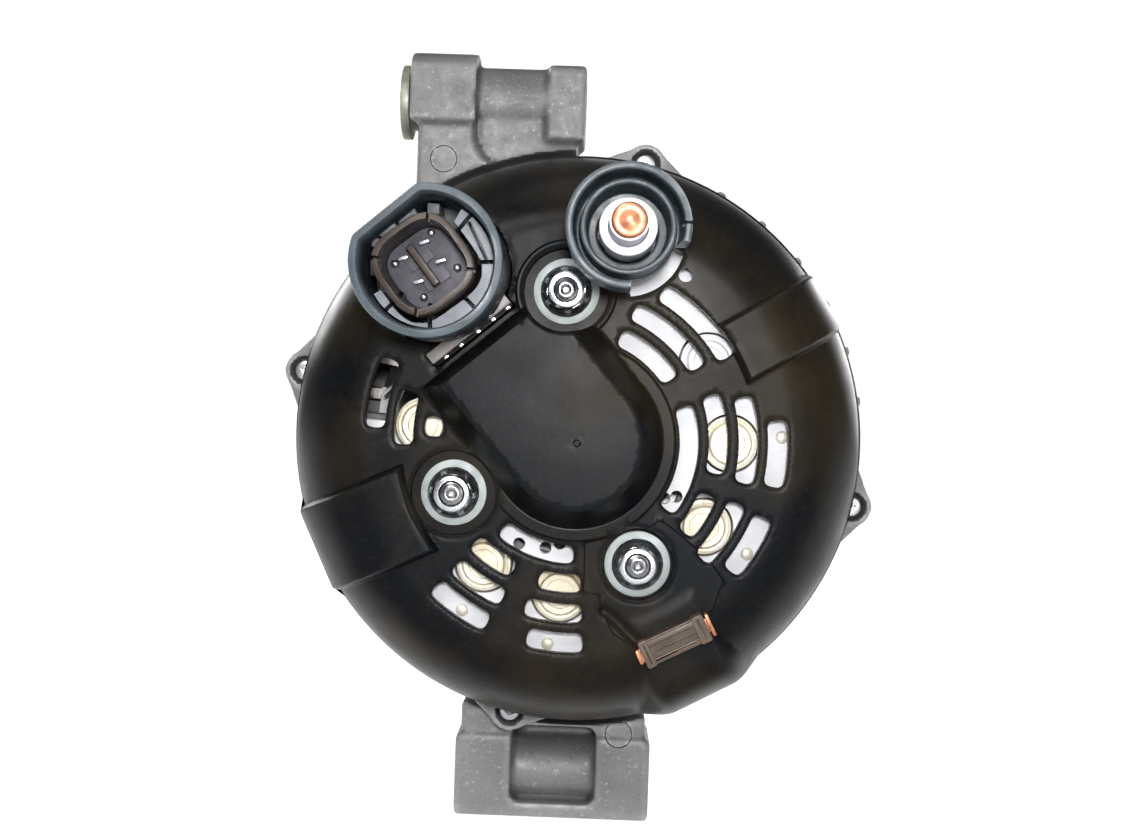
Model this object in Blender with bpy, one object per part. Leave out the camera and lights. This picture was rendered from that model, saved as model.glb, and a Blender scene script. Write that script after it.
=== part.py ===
"""Car alternator, built as separate pieces around one rotor.

The rotor turns about the Y axis. The slip-ring end and its plastic cover face -Y, the belt pulley faces +Y,
and +Z is up. The origin is where the rotor axis meets the plane of the two mounting lugs.
Sizes below are in millimetres and every mesh is written in metres.
"""

import math

import bmesh
import bpy
from mathutils import Matrix, Vector

MM = 0.001
WELD = 2e-6                      # metres: corners closer than this are one
GAP = 0.35                       # between pieces that touch on the real object
FINE, ROUND, SMALL = 32, 16, 10  # sides of large, middle and small round pieces
MIDDLE, BALL_SIDES = 18, 6

# Driving sizes
COVER_RADIUS = 66.8
COVER_FACE_Y = -49.5
COVER_RIM_Y = -18.4
COVER_WALL = 2.0
BOSS_TOP_Y = -61.0
BOSS_ANGLE = 130.5               # direction in which the brush holder leaves the shaft
BOLT_RADIUS, BOLT_START_ANGLE = 67.1, 78.0
BOLT_SHANK, BOLT_HEAD, BOLT_POCKET = 2.2, 2.45, 3.45
EAR_RADIUS = 4.85
HOUSING_RADIUS = 66.0
CORE_RADIUS, CORE_BORE = 64.0, 49.9
CORE_BACK_Y, CORE_FRONT_Y = -2.0, 30.0
ROTOR_RADIUS = 49.4
TOP_LUG_Z, BOTTOM_LUG_Z = 82.0, -84.0
LUG_BORE_RADIUS = 5.3
SHAFT_RADIUS = 8.5
BRUSH_CENTRES_Y = (-52.5, -43.0)
BRUSH_LOW, BRUSH_HIGH, SPRING_HIGH = 7.6, 16.6, 22.2
FIN_FACE_Y = -43.6
PEG_RING, PEG_RADIUS = 25.9, 1.3

# Studs that hold the cover, as (x, z)
STUD_PLACES = ((-3.15, 32.6), (-26.3, -12.1), (14.35, -26.3))
B_TERMINAL = (9.5, 44.7)
CONNECTOR = (-31.1, 35.9)
INSERT, INSERT_TURN = (-32.1, 35.5), 38.0
CLIP, CLIP_TURN = (22.8, -41.9), 27.0
SMALL_HOLE = (22.6, 36.9)
DIODE_RADIUS_FROM_AXIS = 34.0
DIODE_ANGLES = (33.0, 1.0, -32.0, -94.0, -125.0, 176.0)

# Cooling slots of the cover: ring (inner radius, outer radius) and the angles that each slot spans
SLOTS = (
    ((22.6, 26.7), ((35, 69), (-35, 20), (-128, -89))),
    ((28.9, 33.0), ((33, 68), (-11, 21), (-38, -20), (-103, -86), (-133, -114), (172, 180))),
    ((35.4, 39.6), ((31, 62), (-12, 17), (-41, -19), (-105, -86), (-132, -113), (165, 183))),
    ((41.7, 46.1), ((-11, 8), (-38, -20), (-102, -86), (-132, -114), (158, 178))),
)


# ---------------------------------------------------------------- shapes as (vertices, faces)

def turned(profile, sides=FINE, at=(0.0, 0.0), phase=0.0):
    """A closed outline of (radius, y) corners, turned about the line along Y through at=(x, z)."""
    verts, rings, faces = [], [], []
    for radius, y in profile:
        first = len(verts)
        if radius < 1e-6:
            verts.append((at[0], y, at[1]))
            rings.append([first] * sides)
            continue
        rings.append(list(range(first, first + sides)))
        for i in range(sides):
            angle = 2 * math.pi * (i + phase) / sides
            verts.append((at[0] + radius * math.cos(angle), y, at[1] + radius * math.sin(angle)))
    for ring, after in zip(rings, rings[1:] + rings[:1]):
        for i in range(sides):
            j = (i + 1) % sides
            face = list(dict.fromkeys((ring[i], ring[j], after[j], after[i])))
            if len(face) > 2:
                faces.append(face)
    return verts, faces


def rod(radius, y0, y1, at=(0.0, 0.0), sides=SMALL):
    return turned([(0, y0), (radius, y0), (radius, y1), (0, y1)], sides, at)


def tube(inner, outer, y0, y1, at=(0.0, 0.0), sides=FINE):
    return turned([(inner, y0), (outer, y0), (outer, y1), (inner, y1)], sides, at)


def loft(back, front, y_back, y_front):
    """A solid between two outlines of (x, z) corners with the same number of corners."""
    n = len(back)
    verts = [(x, y_back, z) for x, z in back] + [(x, y_front, z) for x, z in front]
    faces = [list(range(n)), list(range(2 * n - 1, n - 1, -1))]
    faces += [[i, (i + 1) % n, n + (i + 1) % n, n + i] for i in range(n)]
    return verts, faces


def prism(outline, y0, y1):
    return loft(outline, outline, y0, y1)


def moved(shape, matrix):
    verts, faces = shape
    return [tuple(matrix @ Vector(v)) for v in verts], faces


def along_x(shape, at):
    """Turns a shape made along Y so that it lies along X, and puts it at (x, y, z)."""
    return moved(shape, Matrix.Translation(at) @ Matrix.Rotation(math.radians(-90), 4, "Z"))


def block(low, high):
    return prism([(low[0], low[2]), (high[0], low[2]), (high[0], high[2]), (low[0], high[2])], low[1], high[1])


# ---------------------------------------------------------------- outlines of (x, z) corners

def polar(radius, degrees):
    angle = math.radians(degrees)
    return radius * math.cos(angle), radius * math.sin(angle)


def arc(radius, start, end, steps, at=(0.0, 0.0)):
    points = [polar(radius, start + (end - start) * i / steps) for i in range(steps + 1)]
    return [(x + at[0], z + at[1]) for x, z in points]


def sector(inner, outer, start, end, steps=6, at=(0.0, 0.0)):
    """Part of a ring between two angles."""
    return arc(outer, start, end, steps, at) + arc(inner, end, start, steps, at)


def radial_box(inner, outer, half_width, degrees):
    """A rectangle that points away from the axis at an angle."""
    return turn_outline([(inner, -half_width), (outer, -half_width), (outer, half_width), (inner, half_width)], degrees)


def turn_outline(outline, degrees, at=(0.0, 0.0)):
    c, s = math.cos(math.radians(degrees)), math.sin(math.radians(degrees))
    return [(c * x - s * z + at[0], s * x + c * z + at[1]) for x, z in outline]


def rounded_square(side, corner, degrees, at, steps=3):
    half = side / 2 - corner
    points = []
    for quarter, (x, z) in enumerate(((half, half), (-half, half), (-half, -half), (half, -half))):
        points += arc(corner, 90 * quarter, 90 * quarter + 90, steps, (x, z))
    return turn_outline(points, degrees, at)


def boss_outline(radius, reach):
    """Half round about the axis, with straight sides that run to a flat end at `reach`."""
    return turn_outline([(reach, -radius)] + [(reach, radius)] + arc(radius, 90, 270, 8), BOSS_ANGLE)


def shroud_outline(inset=0.0):
    """Round, with a straight run across its outer upper left side."""
    radius = 15.6 - inset
    flat = 13.2 - inset
    half_angle = math.degrees(math.acos(flat / radius))
    return arc(radius, BOSS_ANGLE + half_angle, BOSS_ANGLE + 360 - half_angle, 20, CONNECTOR)


# ---------------------------------------------------------------- objects

def clear_scene():
    for obj in list(bpy.data.objects):
        bpy.data.objects.remove(obj, do_unlink=True)


def make_material(name, colour, roughness, metallic):
    material = bpy.data.materials.new(name)
    material.use_nodes = True
    shader = material.node_tree.nodes["Principled BSDF"]
    shader.inputs["Base Color"].default_value = (*colour, 1.0)
    shader.inputs["Roughness"].default_value = roughness
    shader.inputs["Metallic"].default_value = metallic
    return material


def mesh_of(name, shapes):
    """One mesh in metres that holds every shape, with faces that point out of each."""
    mesh = bpy.data.meshes.new(name)
    work = bmesh.new()
    for verts, faces in shapes:
        made = [work.verts.new([value * MM for value in v]) for v in verts]
        for face in faces:
            work.faces.new([made[i] for i in face])
    bmesh.ops.recalc_face_normals(work, faces=work.faces[:])
    work.to_mesh(mesh)
    work.free()
    return mesh


def boolean(obj, shapes, operation):
    """Joins shapes to an object, or cuts them from it, and keeps the result as its mesh."""
    tool = bpy.data.objects.new("tool", mesh_of("tool", shapes))
    bpy.context.scene.collection.objects.link(tool)
    modifier = obj.modifiers.new("Boolean", "BOOLEAN")
    modifier.operation = operation
    modifier.solver = "EXACT"
    modifier.use_self = True
    modifier.object = tool
    result = bpy.data.meshes.new_from_object(obj.evaluated_get(bpy.context.evaluated_depsgraph_get()))
    obj.modifiers.clear()
    work = bmesh.new()
    work.from_mesh(result)
    bmesh.ops.remove_doubles(work, verts=work.verts[:], dist=WELD)
    bmesh.ops.dissolve_degenerate(work, edges=work.edges[:], dist=WELD)
    work.to_mesh(result)
    work.free()
    obj.data = result
    bpy.data.objects.remove(tool, do_unlink=True)


def piece(name, finish, shapes, cuts=(), then=(), parent=None, at=(0.0, 0.0, 0.0)):
    """A named node: the union of shapes, less the cuts, with further shapes joined at the end.

    `at` is the place of the object's origin, in millimetres, and the mesh is made around it.
    """
    obj = bpy.data.objects.new(name, mesh_of(name, shapes[:1]))
    bpy.context.scene.collection.objects.link(obj)
    for extra, operation in ((shapes[1:], "UNION"), (cuts, "DIFFERENCE"), (then, "UNION")):
        if extra:
            boolean(obj, extra, operation)
    origin = Vector(at) * MM
    obj.data.transform(Matrix.Translation(-origin))
    obj.location = origin
    obj.data.name = name
    obj.data.materials.clear()
    obj.data.materials.append(finish)
    obj.data.shade_smooth()
    obj.data.set_sharp_from_angle(angle=math.radians(35))
    if parent:
        obj.parent = parent
        obj.location = origin - parent.location
    return obj


def axis_empty(name, at=(0.0, 0.0, 0.0)):
    empty = bpy.data.objects.new(name, None)
    empty.location = Vector(at) * MM
    bpy.context.scene.collection.objects.link(empty)
    return empty


# ---------------------------------------------------------------- rear cover and what shows on it

def cover_profile(inset=0.0):
    """Half section of the bowl-shaped cover, from its flat face to its flared rim, moved in by `inset`."""
    face = COVER_FACE_Y + inset
    bend = 0.75 * inset
    return [(46.6 - 0.4 * inset, face), (52 - 0.6 * inset, face + 1.4), (57 - bend, face + 4.6),
            (60.8 - bend, face + 9.6), (63.5 - inset, face + 16.0), (65.4 - inset, face + 25.0),
            (COVER_RADIUS - inset, face + 29.2)]


def build_cover(finish):
    end_y = COVER_RIM_Y
    outside = turned([(0, COVER_FACE_Y)] + cover_profile() + [(COVER_RADIUS, end_y), (0, end_y)])
    boss = loft(boss_outline(19.2, 30.0), boss_outline(14.2, 27.0), COVER_FACE_Y + 1, BOSS_TOP_Y)
    right_bump = loft(radial_box(38.5, 63.0, 7.5, 31), radial_box(39.7, 56.0, 6.0, 31), -33, -52.5)
    left_bump = loft(radial_box(38.5, 63.5, 11.5, 205), radial_box(40.2, 55.5, 9.0, 205), -33, -52.5)
    clip_bump = loft(radial_box(40, 66.9, 9.4, -61), radial_box(41, 59.5, 8.5, -61), -30, -50.0)
    rim_bulge = prism(radial_box(50, 66.9, 9.4, -61), -31, end_y)
    cavity_top = COVER_FACE_Y + COVER_WALL
    cavity = turned([(0, cavity_top)] + cover_profile(COVER_WALL)
                    + [(COVER_RADIUS - COVER_WALL, end_y + 5), (0, end_y + 5)])
    boss_cavity = loft(boss_outline(17.2, 28.0), boss_outline(12.4, 25.2), COVER_FACE_Y + 3, BOSS_TOP_Y + 2)
    right_cavity = loft(radial_box(41, 61.0, 5.5, 31), radial_box(41.7, 54.0, 4.2, 31), -33, -50.7)
    left_cavity = loft(radial_box(41, 61.5, 9.5, 205), radial_box(42, 53.5, 7.2, 205), -33, -50.7)
    clip_cavity = loft(radial_box(42, 64.9, 7.5, -61), radial_box(43, 57.5, 6.7, -61), -30, -48.0)
    bulge_cavity = prism(radial_box(52, 64.9, 7.5, -61), -31, end_y + 5)
    cover = piece("rear_cover", finish, [outside, boss, right_bump, left_bump, clip_bump, rim_bulge],
                  [cavity, boss_cavity, right_cavity, left_cavity, clip_cavity, bulge_cavity])
    boolean(cover, [rod(11.2, COVER_FACE_Y + 0.7, -44.8, place, ROUND) for place in STUD_PLACES], "UNION")
    holes = []
    for place in STUD_PLACES:
        holes.append(rod(9.7, -70, -46.6, place, ROUND))
        holes.append(rod(3.2, -50, -40, place))
    for (inner, outer), spans in SLOTS:
        for start, end in spans:
            steps = max(1, round((end - start) / 13))
            holes.append(prism(sector(inner, outer, start, end, steps), -53.5, -43))
    holes.append(prism(shroud_outline(-GAP), -60, -30))
    holes.append(prism(turn_outline([(31.2, -8.2), (34.4, -8.2), (34.4, 13.9), (31.2, 13.9)], BOSS_ANGLE), -60, -43))
    holes.append(rod(9.9, -60, -30, B_TERMINAL, ROUND))
    holes.append(prism(sector(9.0, 12.6, -84, -14, 5, B_TERMINAL), -60, -43))
    holes.append(rod(1.55, -60, -43, SMALL_HOLE))
    boolean(cover, holes, "DIFFERENCE")
    return cover


def bolt_angles():
    return [BOLT_START_ANGLE + 90 * i for i in range(4)]


def hexagon(across_flats, at, turn=0.0):
    return turn_outline(arc(across_flats / math.sqrt(3), 0, 300, 5), turn, at)


def build_cover_fasteners(bright, washer_finish):
    for number, place in enumerate(STUD_PLACES, 1):
        piece(f"cover_stud_{number}", bright, [
            turned([(0, -53.2), (1.9, -53.2), (2.45, -52.6), (2.45, -22.4), (0, -22.4)], SMALL, place),
            rod(4.2, -43.8, -22.4, place)])
        piece(f"cover_nut_{number}", bright,
              [prism(hexagon(8.0, place, 15), -53.0, -48.3),
               turned([(0, -50.2), (4.0, -50.2), (5.6, -48.6), (5.6, -47.9), (0, -47.9)], ROUND, place)],
              [rod(2.8, -60, -40, place)])
        piece(f"cover_washer_{number}", washer_finish, [tube(2.9, 7.2, -47.55, -46.95, place, ROUND)])


def build_b_terminal(insulator, steel, copper):
    cup = turned([(6.4, -46.0), (9.5, -46.0), (9.5, -52.5), (12.9, -59.5), (12.9, -72.0), (11.2, -72.0),
                  (11.2, -60.5), (9.9, -60.5), (9.9, -69.0), (8.7, -69.0), (8.7, -57.5), (6.4, -57.5)],
                 ROUND, B_TERMINAL)
    notch = prism(sector(10.2, 15, -86, -14, 6, B_TERMINAL), -74, -52.2)
    piece("b_terminal_insulator", insulator, [cup], [notch])
    piece("b_terminal_collar", steel, [tube(4.4, 6.05, -68.5, -46.0, B_TERMINAL, ROUND)])
    piece("b_terminal_stud", copper, [
        turned([(0, -80), (2.9, -80), (4.0, -78.4), (4.0, -42.0), (6.6, -42.0), (6.6, -41.65), (0, -41.65)],
               ROUND, B_TERMINAL)])


def build_clip(plastic, copper):
    lengthways = Matrix.Translation((CLIP[0], 0, CLIP[1])) @ Matrix.Rotation(math.radians(-CLIP_TURN), 4, "Y")
    body = moved(block((-7.6, -54.8, -3.1), (7.6, -50.4, 3.1)), lengthways)
    slot = moved(block((-9, -53.4, -2.0), (9, -51.8, 2.0)), lengthways)
    piece("harness_clip", plastic, [body], [slot])
    piece("clip_strap", copper, [moved(block((-8.8, -53.0, -1.6), (8.8, -52.2, 1.6)), lengthways)])


def build_regulator(plastic, insert_finish, bar_finish):
    base = prism(turn_outline([(35.4, -15.5), (51, -15.5), (51, 15.5), (35.4, 15.5)], BOSS_ANGLE), -39.5, -29)
    shroud = prism(shroud_outline(), -75.0, -31)
    socket = prism(shroud_outline(2.4), -80, -52.0)
    clearance = prism(turn_outline([(28, -18), (34.9, -18), (34.9, 18), (28, 18)], BOSS_ANGLE), -54.2, -20)
    piece("regulator", plastic, [base, shroud], [socket, clearance])
    cavity = rounded_square(15.0, 3.9, INSERT_TURN, INSERT)
    key = turn_outline([(-5.2, -0.8), (5.2, -0.8), (5.2, 0.8), (-5.2, 0.8)], -50, INSERT)
    piece("connector_insert", insert_finish,
          [prism(rounded_square(18.8, 5.4, INSERT_TURN, INSERT), -71.0, -52.0 - GAP)],
          [prism(cavity, -80, -60.0)], [prism(key, -65.0, -58.0)])
    bar = turn_outline([(31.6, -7.8), (34.0, -7.8), (34.0, 13.5), (31.6, 13.5)], BOSS_ANGLE)
    piece("terminal_bar", bar_finish, [prism(bar, -53.8, -36)])


# ---------------------------------------------------------------- brushes and rectifier

def along_brush(low, high, y0, y1, half_width):
    """A box that lies along the brushes' line, from `low` to `high` out of the axis."""
    return prism(radial_box(low, high, half_width, BOSS_ANGLE), y0, y1)


def build_brushes(holder_finish, carbon, steel):
    channels = [along_brush(5.0, SPRING_HIGH + GAP, y - 2.6, y + 2.6, 3.6) for y in BRUSH_CENTRES_Y]
    piece("brush_holder", holder_finish, [along_brush(9.0, 24.2, -57.5, -38.5, 6.2)], channels)
    for number, y in enumerate(BRUSH_CENTRES_Y, 1):
        x, z = polar(BRUSH_LOW, BOSS_ANGLE)
        slide = axis_empty(f"brush_{number}_slide", (x, y, z))
        piece(f"brush_{number}", carbon, [along_brush(BRUSH_LOW, BRUSH_HIGH, y - 2.2, y + 2.2, 3.2)],
              parent=slide, at=(x, y, z))
        piece(f"brush_spring_{number}", steel, [coil_spring(y)])


def coil_spring(y):
    """An open wire helix from the back of a brush to the end of its channel."""
    turns, steps_per_turn, wire_sides = 3, 7, 4
    coil, wire = 1.75, 0.3
    low, high = BRUSH_HIGH + GAP + wire, SPRING_HIGH - wire
    count = turns * steps_per_turn
    frame = Matrix.Rotation(math.radians(90 - BOSS_ANGLE), 4, "Y")
    verts, faces = [], []
    for i in range(count + 1):
        angle = 2 * math.pi * i / steps_per_turn
        height = low + (high - low) * i / count
        for k in range(wire_sides):
            around = 2 * math.pi * k / wire_sides
            radius = coil + wire * math.cos(around)
            local = Vector((radius * math.cos(angle), radius * math.sin(angle), height + wire * math.sin(around)))
            verts.append(tuple(frame @ local + Vector((0, y, 0))))
    for i in range(count):
        for k in range(wire_sides):
            a, b = i * wire_sides + k, i * wire_sides + (k + 1) % wire_sides
            faces.append([a, b, b + wire_sides, a + wire_sides])
    faces.append(list(range(wire_sides)))
    faces.append(list(range(count * wire_sides, (count + 1) * wire_sides)))
    return verts, faces


def build_rectifier(fin, block_finish, diode):
    outer = prism(sector(21.8, 47.2, -184, 73, 15), FIN_FACE_Y, FIN_FACE_Y + 3.2)
    lug = prism(sector(38.5, 49.0, 50, 88, 4), FIN_FACE_Y, FIN_FACE_Y + 3.2)
    holes = [rod(6.6, -46, -38, polar(DIODE_RADIUS_FROM_AXIS, a)) for a in DIODE_ANGLES]
    holes += [rod(5.0, -46, -38, place, ROUND) for place in STUD_PLACES]
    holes.append(rod(7.2, -46, -38, B_TERMINAL, ROUND))
    piece("positive_fin", fin, [outer, lug], holes)
    top = FIN_FACE_Y - 0.3
    for number, angle in enumerate(DIODE_ANGLES, 1):
        piece(f"diode_{number}", diode, [
            turned([(0, top - 0.9), (4.6, top - 0.9), (4.6, top), (6.1, top), (6.1, top + 4.4), (1.0, top + 4.4),
                    (1.0, top + 7.6), (0, top + 7.6)], SMALL, polar(DIODE_RADIUS_FROM_AXIS, angle))])
    inner = prism(sector(24.0, 58.0, -184, 80, 14), -30.5, -27.5)
    studs = [rod(5.0, -34, -24, place, ROUND) for place in STUD_PLACES]
    bumps = [rod(6.0, -33.0, -29, polar(46.0, a)) for a in (20, -20, -60, -85, -130, -172)]
    piece("negative_fin", fin, [inner] + bumps, studs)
    moulding = prism(sector(26.0, 56.0, -182, 66, 14), -35.6, -34.0)
    piece("rectifier_block", block_finish, [moulding],
          [rod(5.0, -38, -30, place, ROUND) for place in STUD_PLACES]
          + [rod(2.0, -40, -30, polar(DIODE_RADIUS_FROM_AXIS, a)) for a in DIODE_ANGLES])


# ---------------------------------------------------------------- housings, lugs and stator

def ear_shape(y0, y1):
    """Four bolt bosses, each blended to the barrel by a wide root."""
    shapes = []
    for angle in bolt_angles():
        shapes.append(rod(EAR_RADIUS, y0, y1, polar(BOLT_RADIUS, angle)))
        side = [(64.8, 12.5), (66.6, 9.0), (68.6, 5.6), (70.0, 3.3)]
        root = [polar(r, angle - a) for r, a in side] + [polar(r, angle + a) for r, a in reversed(side)]
        shapes.append(prism(root, y0, y1))
    return shapes


def window_outlines(inner, outer):
    """Twelve air windows between the spokes of an end wall."""
    return [sector(inner, outer, 30 * i + 5.5, 30 * i + 24.5, 2) for i in range(12)]


def build_rear_housing(finish):
    body = turned([(62.4, -22.0), (62.4, -17.9), (HOUSING_RADIUS, -17.9), (HOUSING_RADIUS, 3.4), (64.4, 3.4),
                   (64.4, CORE_BACK_Y - GAP), (62.0, CORE_BACK_Y - GAP), (62.0, -18.4), (16.35, -18.4),
                   (16.35, -33.4), (9.5, -33.4), (9.5, -35.2), (19.4, -35.2), (19.4, -22.0)])
    fins = [prism(radial_box(64.6, 69.4, 1.0, 10.4 * i + 9.4), -16.5, 3.4) for i in range(6)]
    cuts = [rod(BOLT_SHANK + 0.4, -30, 10, polar(BOLT_RADIUS, a)) for a in bolt_angles()]
    cuts += [rod(BOLT_POCKET, -30, -13.45, polar(BOLT_RADIUS, a)) for a in bolt_angles()]
    cuts += [prism(outline, -30, -10) for outline in window_outlines(31, 56)]
    cuts += [prism(radial_box(60, 75, 2.6, 10.4 * i + 14.6), -14.5, -4.5) for i in range(5)]
    cuts += [prism(radial_box(60, 75, 3.2, a), -14.5, -4.5) for a in range(-84, -24, 15)]
    cuts += [prism(radial_box(60, 75, 3.2, a), -14.5, -4.5) for a in range(186, 246, 15)]
    cuts += [prism(radial_box(60, 75, 3.2, a), -14.5, -4.5) for a in (130, 147)]
    cuts += [rod(64.45, CORE_BACK_Y - GAP, 10, sides=FINE), rod(62.05, -18.4, 0, sides=FINE)]
    piece("rear_housing", finish, [body] + ear_shape(-17.9, 3.4) + fins, cuts)


def lug_section(z, height_up, height_down, depth, bulge):
    """Outline in (y, z) of a lug block: flat towards the engine side faces, round on its free end."""
    sign = 1 if z > 0 else -1
    corner = z + sign * height_up
    round_end = [(-depth * math.cos(math.radians(a)), corner + sign * bulge * math.sin(math.radians(a)))
                 for a in range(0, 181, 30)]
    return [(-depth, z - sign * height_down)] + round_end + [(depth, z - sign * height_down)]


def x_prism(section, x0, x1):
    """A solid whose (y, z) section runs from x0 to x1."""
    verts = [(x0, y, z) for y, z in section] + [(x1, y, z) for y, z in section]
    n = len(section)
    faces = [list(range(n)), list(range(2 * n - 1, n - 1, -1))]
    faces += [[i, (i + 1) % n, n + (i + 1) % n, n + i] for i in range(n)]
    return verts, faces


def build_front_housing(finish):
    body = turned([(HOUSING_RADIUS + 1.4, 21.4), (HOUSING_RADIUS + 1.4, 43.0), (HOUSING_RADIUS - 1.6, 49.5),
                   (60.0, 52.0), (29.0, 52.0), (29.0, 60.5), (15.5, 60.5), (15.5, 58.4), (23.85, 58.4),
                   (23.85, 43.8), (28.0, 43.8), (28.0, 47.4), (60.0, 47.4), (62.4, 44.0),
                   (62.4, CORE_FRONT_Y + GAP), (64.45, CORE_FRONT_Y + GAP), (64.45, 21.4)])
    raised_web = [(-41.7, 50), (-16, 50), (-23.2, 65), (-26.9, 69), (-28.1, 72), (-28.1, 77), (-41.7, 77)]
    top = [x_prism(lug_section(TOP_LUG_Z, 7.0, 5.9, 10.8, 5.0), -43.8, -27.7),
           x_prism(lug_section(TOP_LUG_Z, 7.0, 9.6, 9.5, 2.8), -10.1, -0.9),
           along_x(rod(9.1, -10, 10, sides=ROUND), (-19, 0, TOP_LUG_Z)),
           prism(raised_web, -9.5, 34),
           block((-30, -7.9, 50), (-2.8, 34, 76)),
           block((-41, 3, 60), (-4, 9.5, 80))]
    bottom = [x_prism(lug_section(BOTTOM_LUG_Z, 7.2, 10.5, 10.4, 3.5), -27.4, 20.2),
              block((-26.2, -9.5, -76), (18.8, 34, -50))]
    pocket = block((-13.7, -16, -89.4), (6.9, 0.5, -70.8))
    pin = along_x(rod(8.0, -12.5, 12.5, sides=ROUND), (-3.2, 0, BOTTOM_LUG_Z + 1.0))
    clear = [rod(70.2, -40, 3.9, sides=FINE), rod(64.45, 0, 31, sides=FINE), rod(62.4, 20, 44, sides=FINE)]
    clear += [along_x(rod(LUG_BORE_RADIUS, -60, 60, sides=ROUND), (0, 0, z)) for z in (TOP_LUG_Z, BOTTOM_LUG_Z)]
    clear.append(along_x(rod(7.2, -60, 60, sides=ROUND), (-60 - 27, 0, TOP_LUG_Z)))
    clear += [rod(BOLT_SHANK + 0.35, 0, 38, polar(BOLT_RADIUS, a)) for a in bolt_angles()]
    clear += [rod(EAR_RADIUS + 0.5, -30, 21.0, polar(BOLT_RADIUS, a)) for a in bolt_angles()]
    clear += [rod(PEG_RADIUS + GAP, 40, 49.6, place) for place in peg_places()]
    vents = [prism(radial_box(58, 75, 3.0, a), 33.5, 42.5) for a in range(0, 360, 15)
             if all(abs((a - b + 180) % 360 - 180) > 8.5 for b in bolt_angles())
             and not 84 < a < 132 and not 246 < a < 294]
    vents += [prism(outline, 45, 54) for outline in window_outlines(33, 55)]
    obj = piece("front_housing", finish, top + bottom, [pocket])
    boolean(obj, [body, pin] + ear_shape(21.4, 41.0), "UNION")
    boolean(obj, clear + vents, "DIFFERENCE")
    return obj


def build_lug_bush(finish):
    """The sliding steel sleeve that clamps the top lug to the bracket."""
    sleeve = along_x(turned([(LUG_BORE_RADIUS, -9.4), (9.1, -9.4), (9.1, -7.2), (6.85, -7.2), (6.85, 8),
                             (LUG_BORE_RADIUS, 8)], ROUND), (-37.0, 0, TOP_LUG_Z))
    piece("lug_bush", finish, [sleeve])


def build_stator(steel, copper):
    slots = [prism(radial_box(45, 60.2, 1.75, 10 * i), -60, 60) for i in range(36)]
    piece("stator_core", steel, [tube(CORE_BORE, CORE_RADIUS, CORE_BACK_Y, CORE_FRONT_Y)], slots)
    back = turned([(52.4, -14.0), (54, -15.6), (57.5, -15.6), (59.2, -14.0), (59.2, CORE_BACK_Y - 1.0),
                   (52.4, CORE_BACK_Y - 1.0)], MIDDLE)
    front = turned([(52.4, CORE_FRONT_Y + 1.0), (59.2, CORE_FRONT_Y + 1.0), (59.2, 42.0), (57.5, 43.4),
                    (54, 43.4), (52.4, 42.0)], MIDDLE)
    legs = [prism(radial_box(53.0, 58.2, 1.3, 10 * i), CORE_BACK_Y - 3, CORE_FRONT_Y + 3) for i in range(36)]
    piece("stator_winding", copper, [back, front] + legs)


def build_bolts(finish):
    for number, angle in enumerate(bolt_angles(), 1):
        place = polar(BOLT_RADIUS, angle)
        piece(f"through_bolt_{number}", finish, [
            turned([(0, -17.4), (BOLT_HEAD - 0.3, -17.4), (BOLT_HEAD, -17.0), (BOLT_HEAD, -15.2), (3.05, -14.8),
                    (3.05, -13.8), (BOLT_SHANK, -13.8), (BOLT_SHANK, 36.0), (0, 36.0)], SMALL, place)])


# ---------------------------------------------------------------- rotor

def claw(radius_angle, root_y, tip_y, out_y):
    """One tapered finger of a pole, bent over the coil towards the other pole."""
    sections = ((out_y, 12.6, 38.6), (root_y, 12.0, 39.6), (tip_y, 5.6, 45.0))
    verts = []
    for y, half, inner in sections:
        for radius, side in ((inner, -half), (ROTOR_RADIUS, -half), (ROTOR_RADIUS, 0), (ROTOR_RADIUS, half),
                             (inner, half), (inner, 0)):
            x, z = polar(radius, radius_angle + side)
            verts.append((x, y, z))
    n = 6
    faces = [list(range(n)), list(range(3 * n - 1, 2 * n - 1, -1))]
    for layer in (0, n):
        faces += [[layer + i, layer + (i + 1) % n, layer + n + (i + 1) % n, layer + n + i] for i in range(n)]
    return verts, faces


def build_poles(steel, axis):
    middle = (CORE_BACK_Y + CORE_FRONT_Y) / 2
    for name, side, turn in (("pole_rear", -1, 0), ("pole_front", 1, 30)):
        disc = [turned([(8.85, middle + side * 23), (40.5, middle + side * 23), (40.5, middle + side * 12.4),
                        (16.6, middle + side * 12.4), (16.6, middle + side * 0.2), (8.85, middle + side * 0.2)],
                       MIDDLE, phase=0.3)]
        claws = [claw(60 * i + turn, middle + side * 12.6, middle - side * 19.5, middle + side * 22.6)
                 for i in range(6)]
        piece(name, steel, disc + claws, parent=axis)


def build_coil(bobbin_finish, copper, axis):
    piece("coil_bobbin", bobbin_finish, [
        turned([(17.4, 2.1), (37.6, 2.1), (37.6, 3.3), (18.6, 3.3), (18.6, 24.7), (37.6, 24.7), (37.6, 25.9),
                (17.4, 25.9)], ROUND)], parent=axis)
    piece("field_coil", copper, [
        turned([(18.95, 3.7), (36.4, 3.7), (37.2, 5.5), (37.2, 22.5), (36.4, 24.3), (18.95, 24.3)], ROUND)],
        parent=axis)


def fan_blades(count, y0, y1, inner, outer, lean):
    blades = []
    for i in range(count):
        start = 360 / count * i
        path = [(inner + (outer - inner) * t, start + lean * t * t) for t in (0, 0.5, 1)]
        near = [polar(r, a) for r, a in path]
        far = [polar(r, a + 1.9) for r, a in reversed(path)]
        blades.append(prism(near + far, y0, y1))
    return blades


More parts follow.
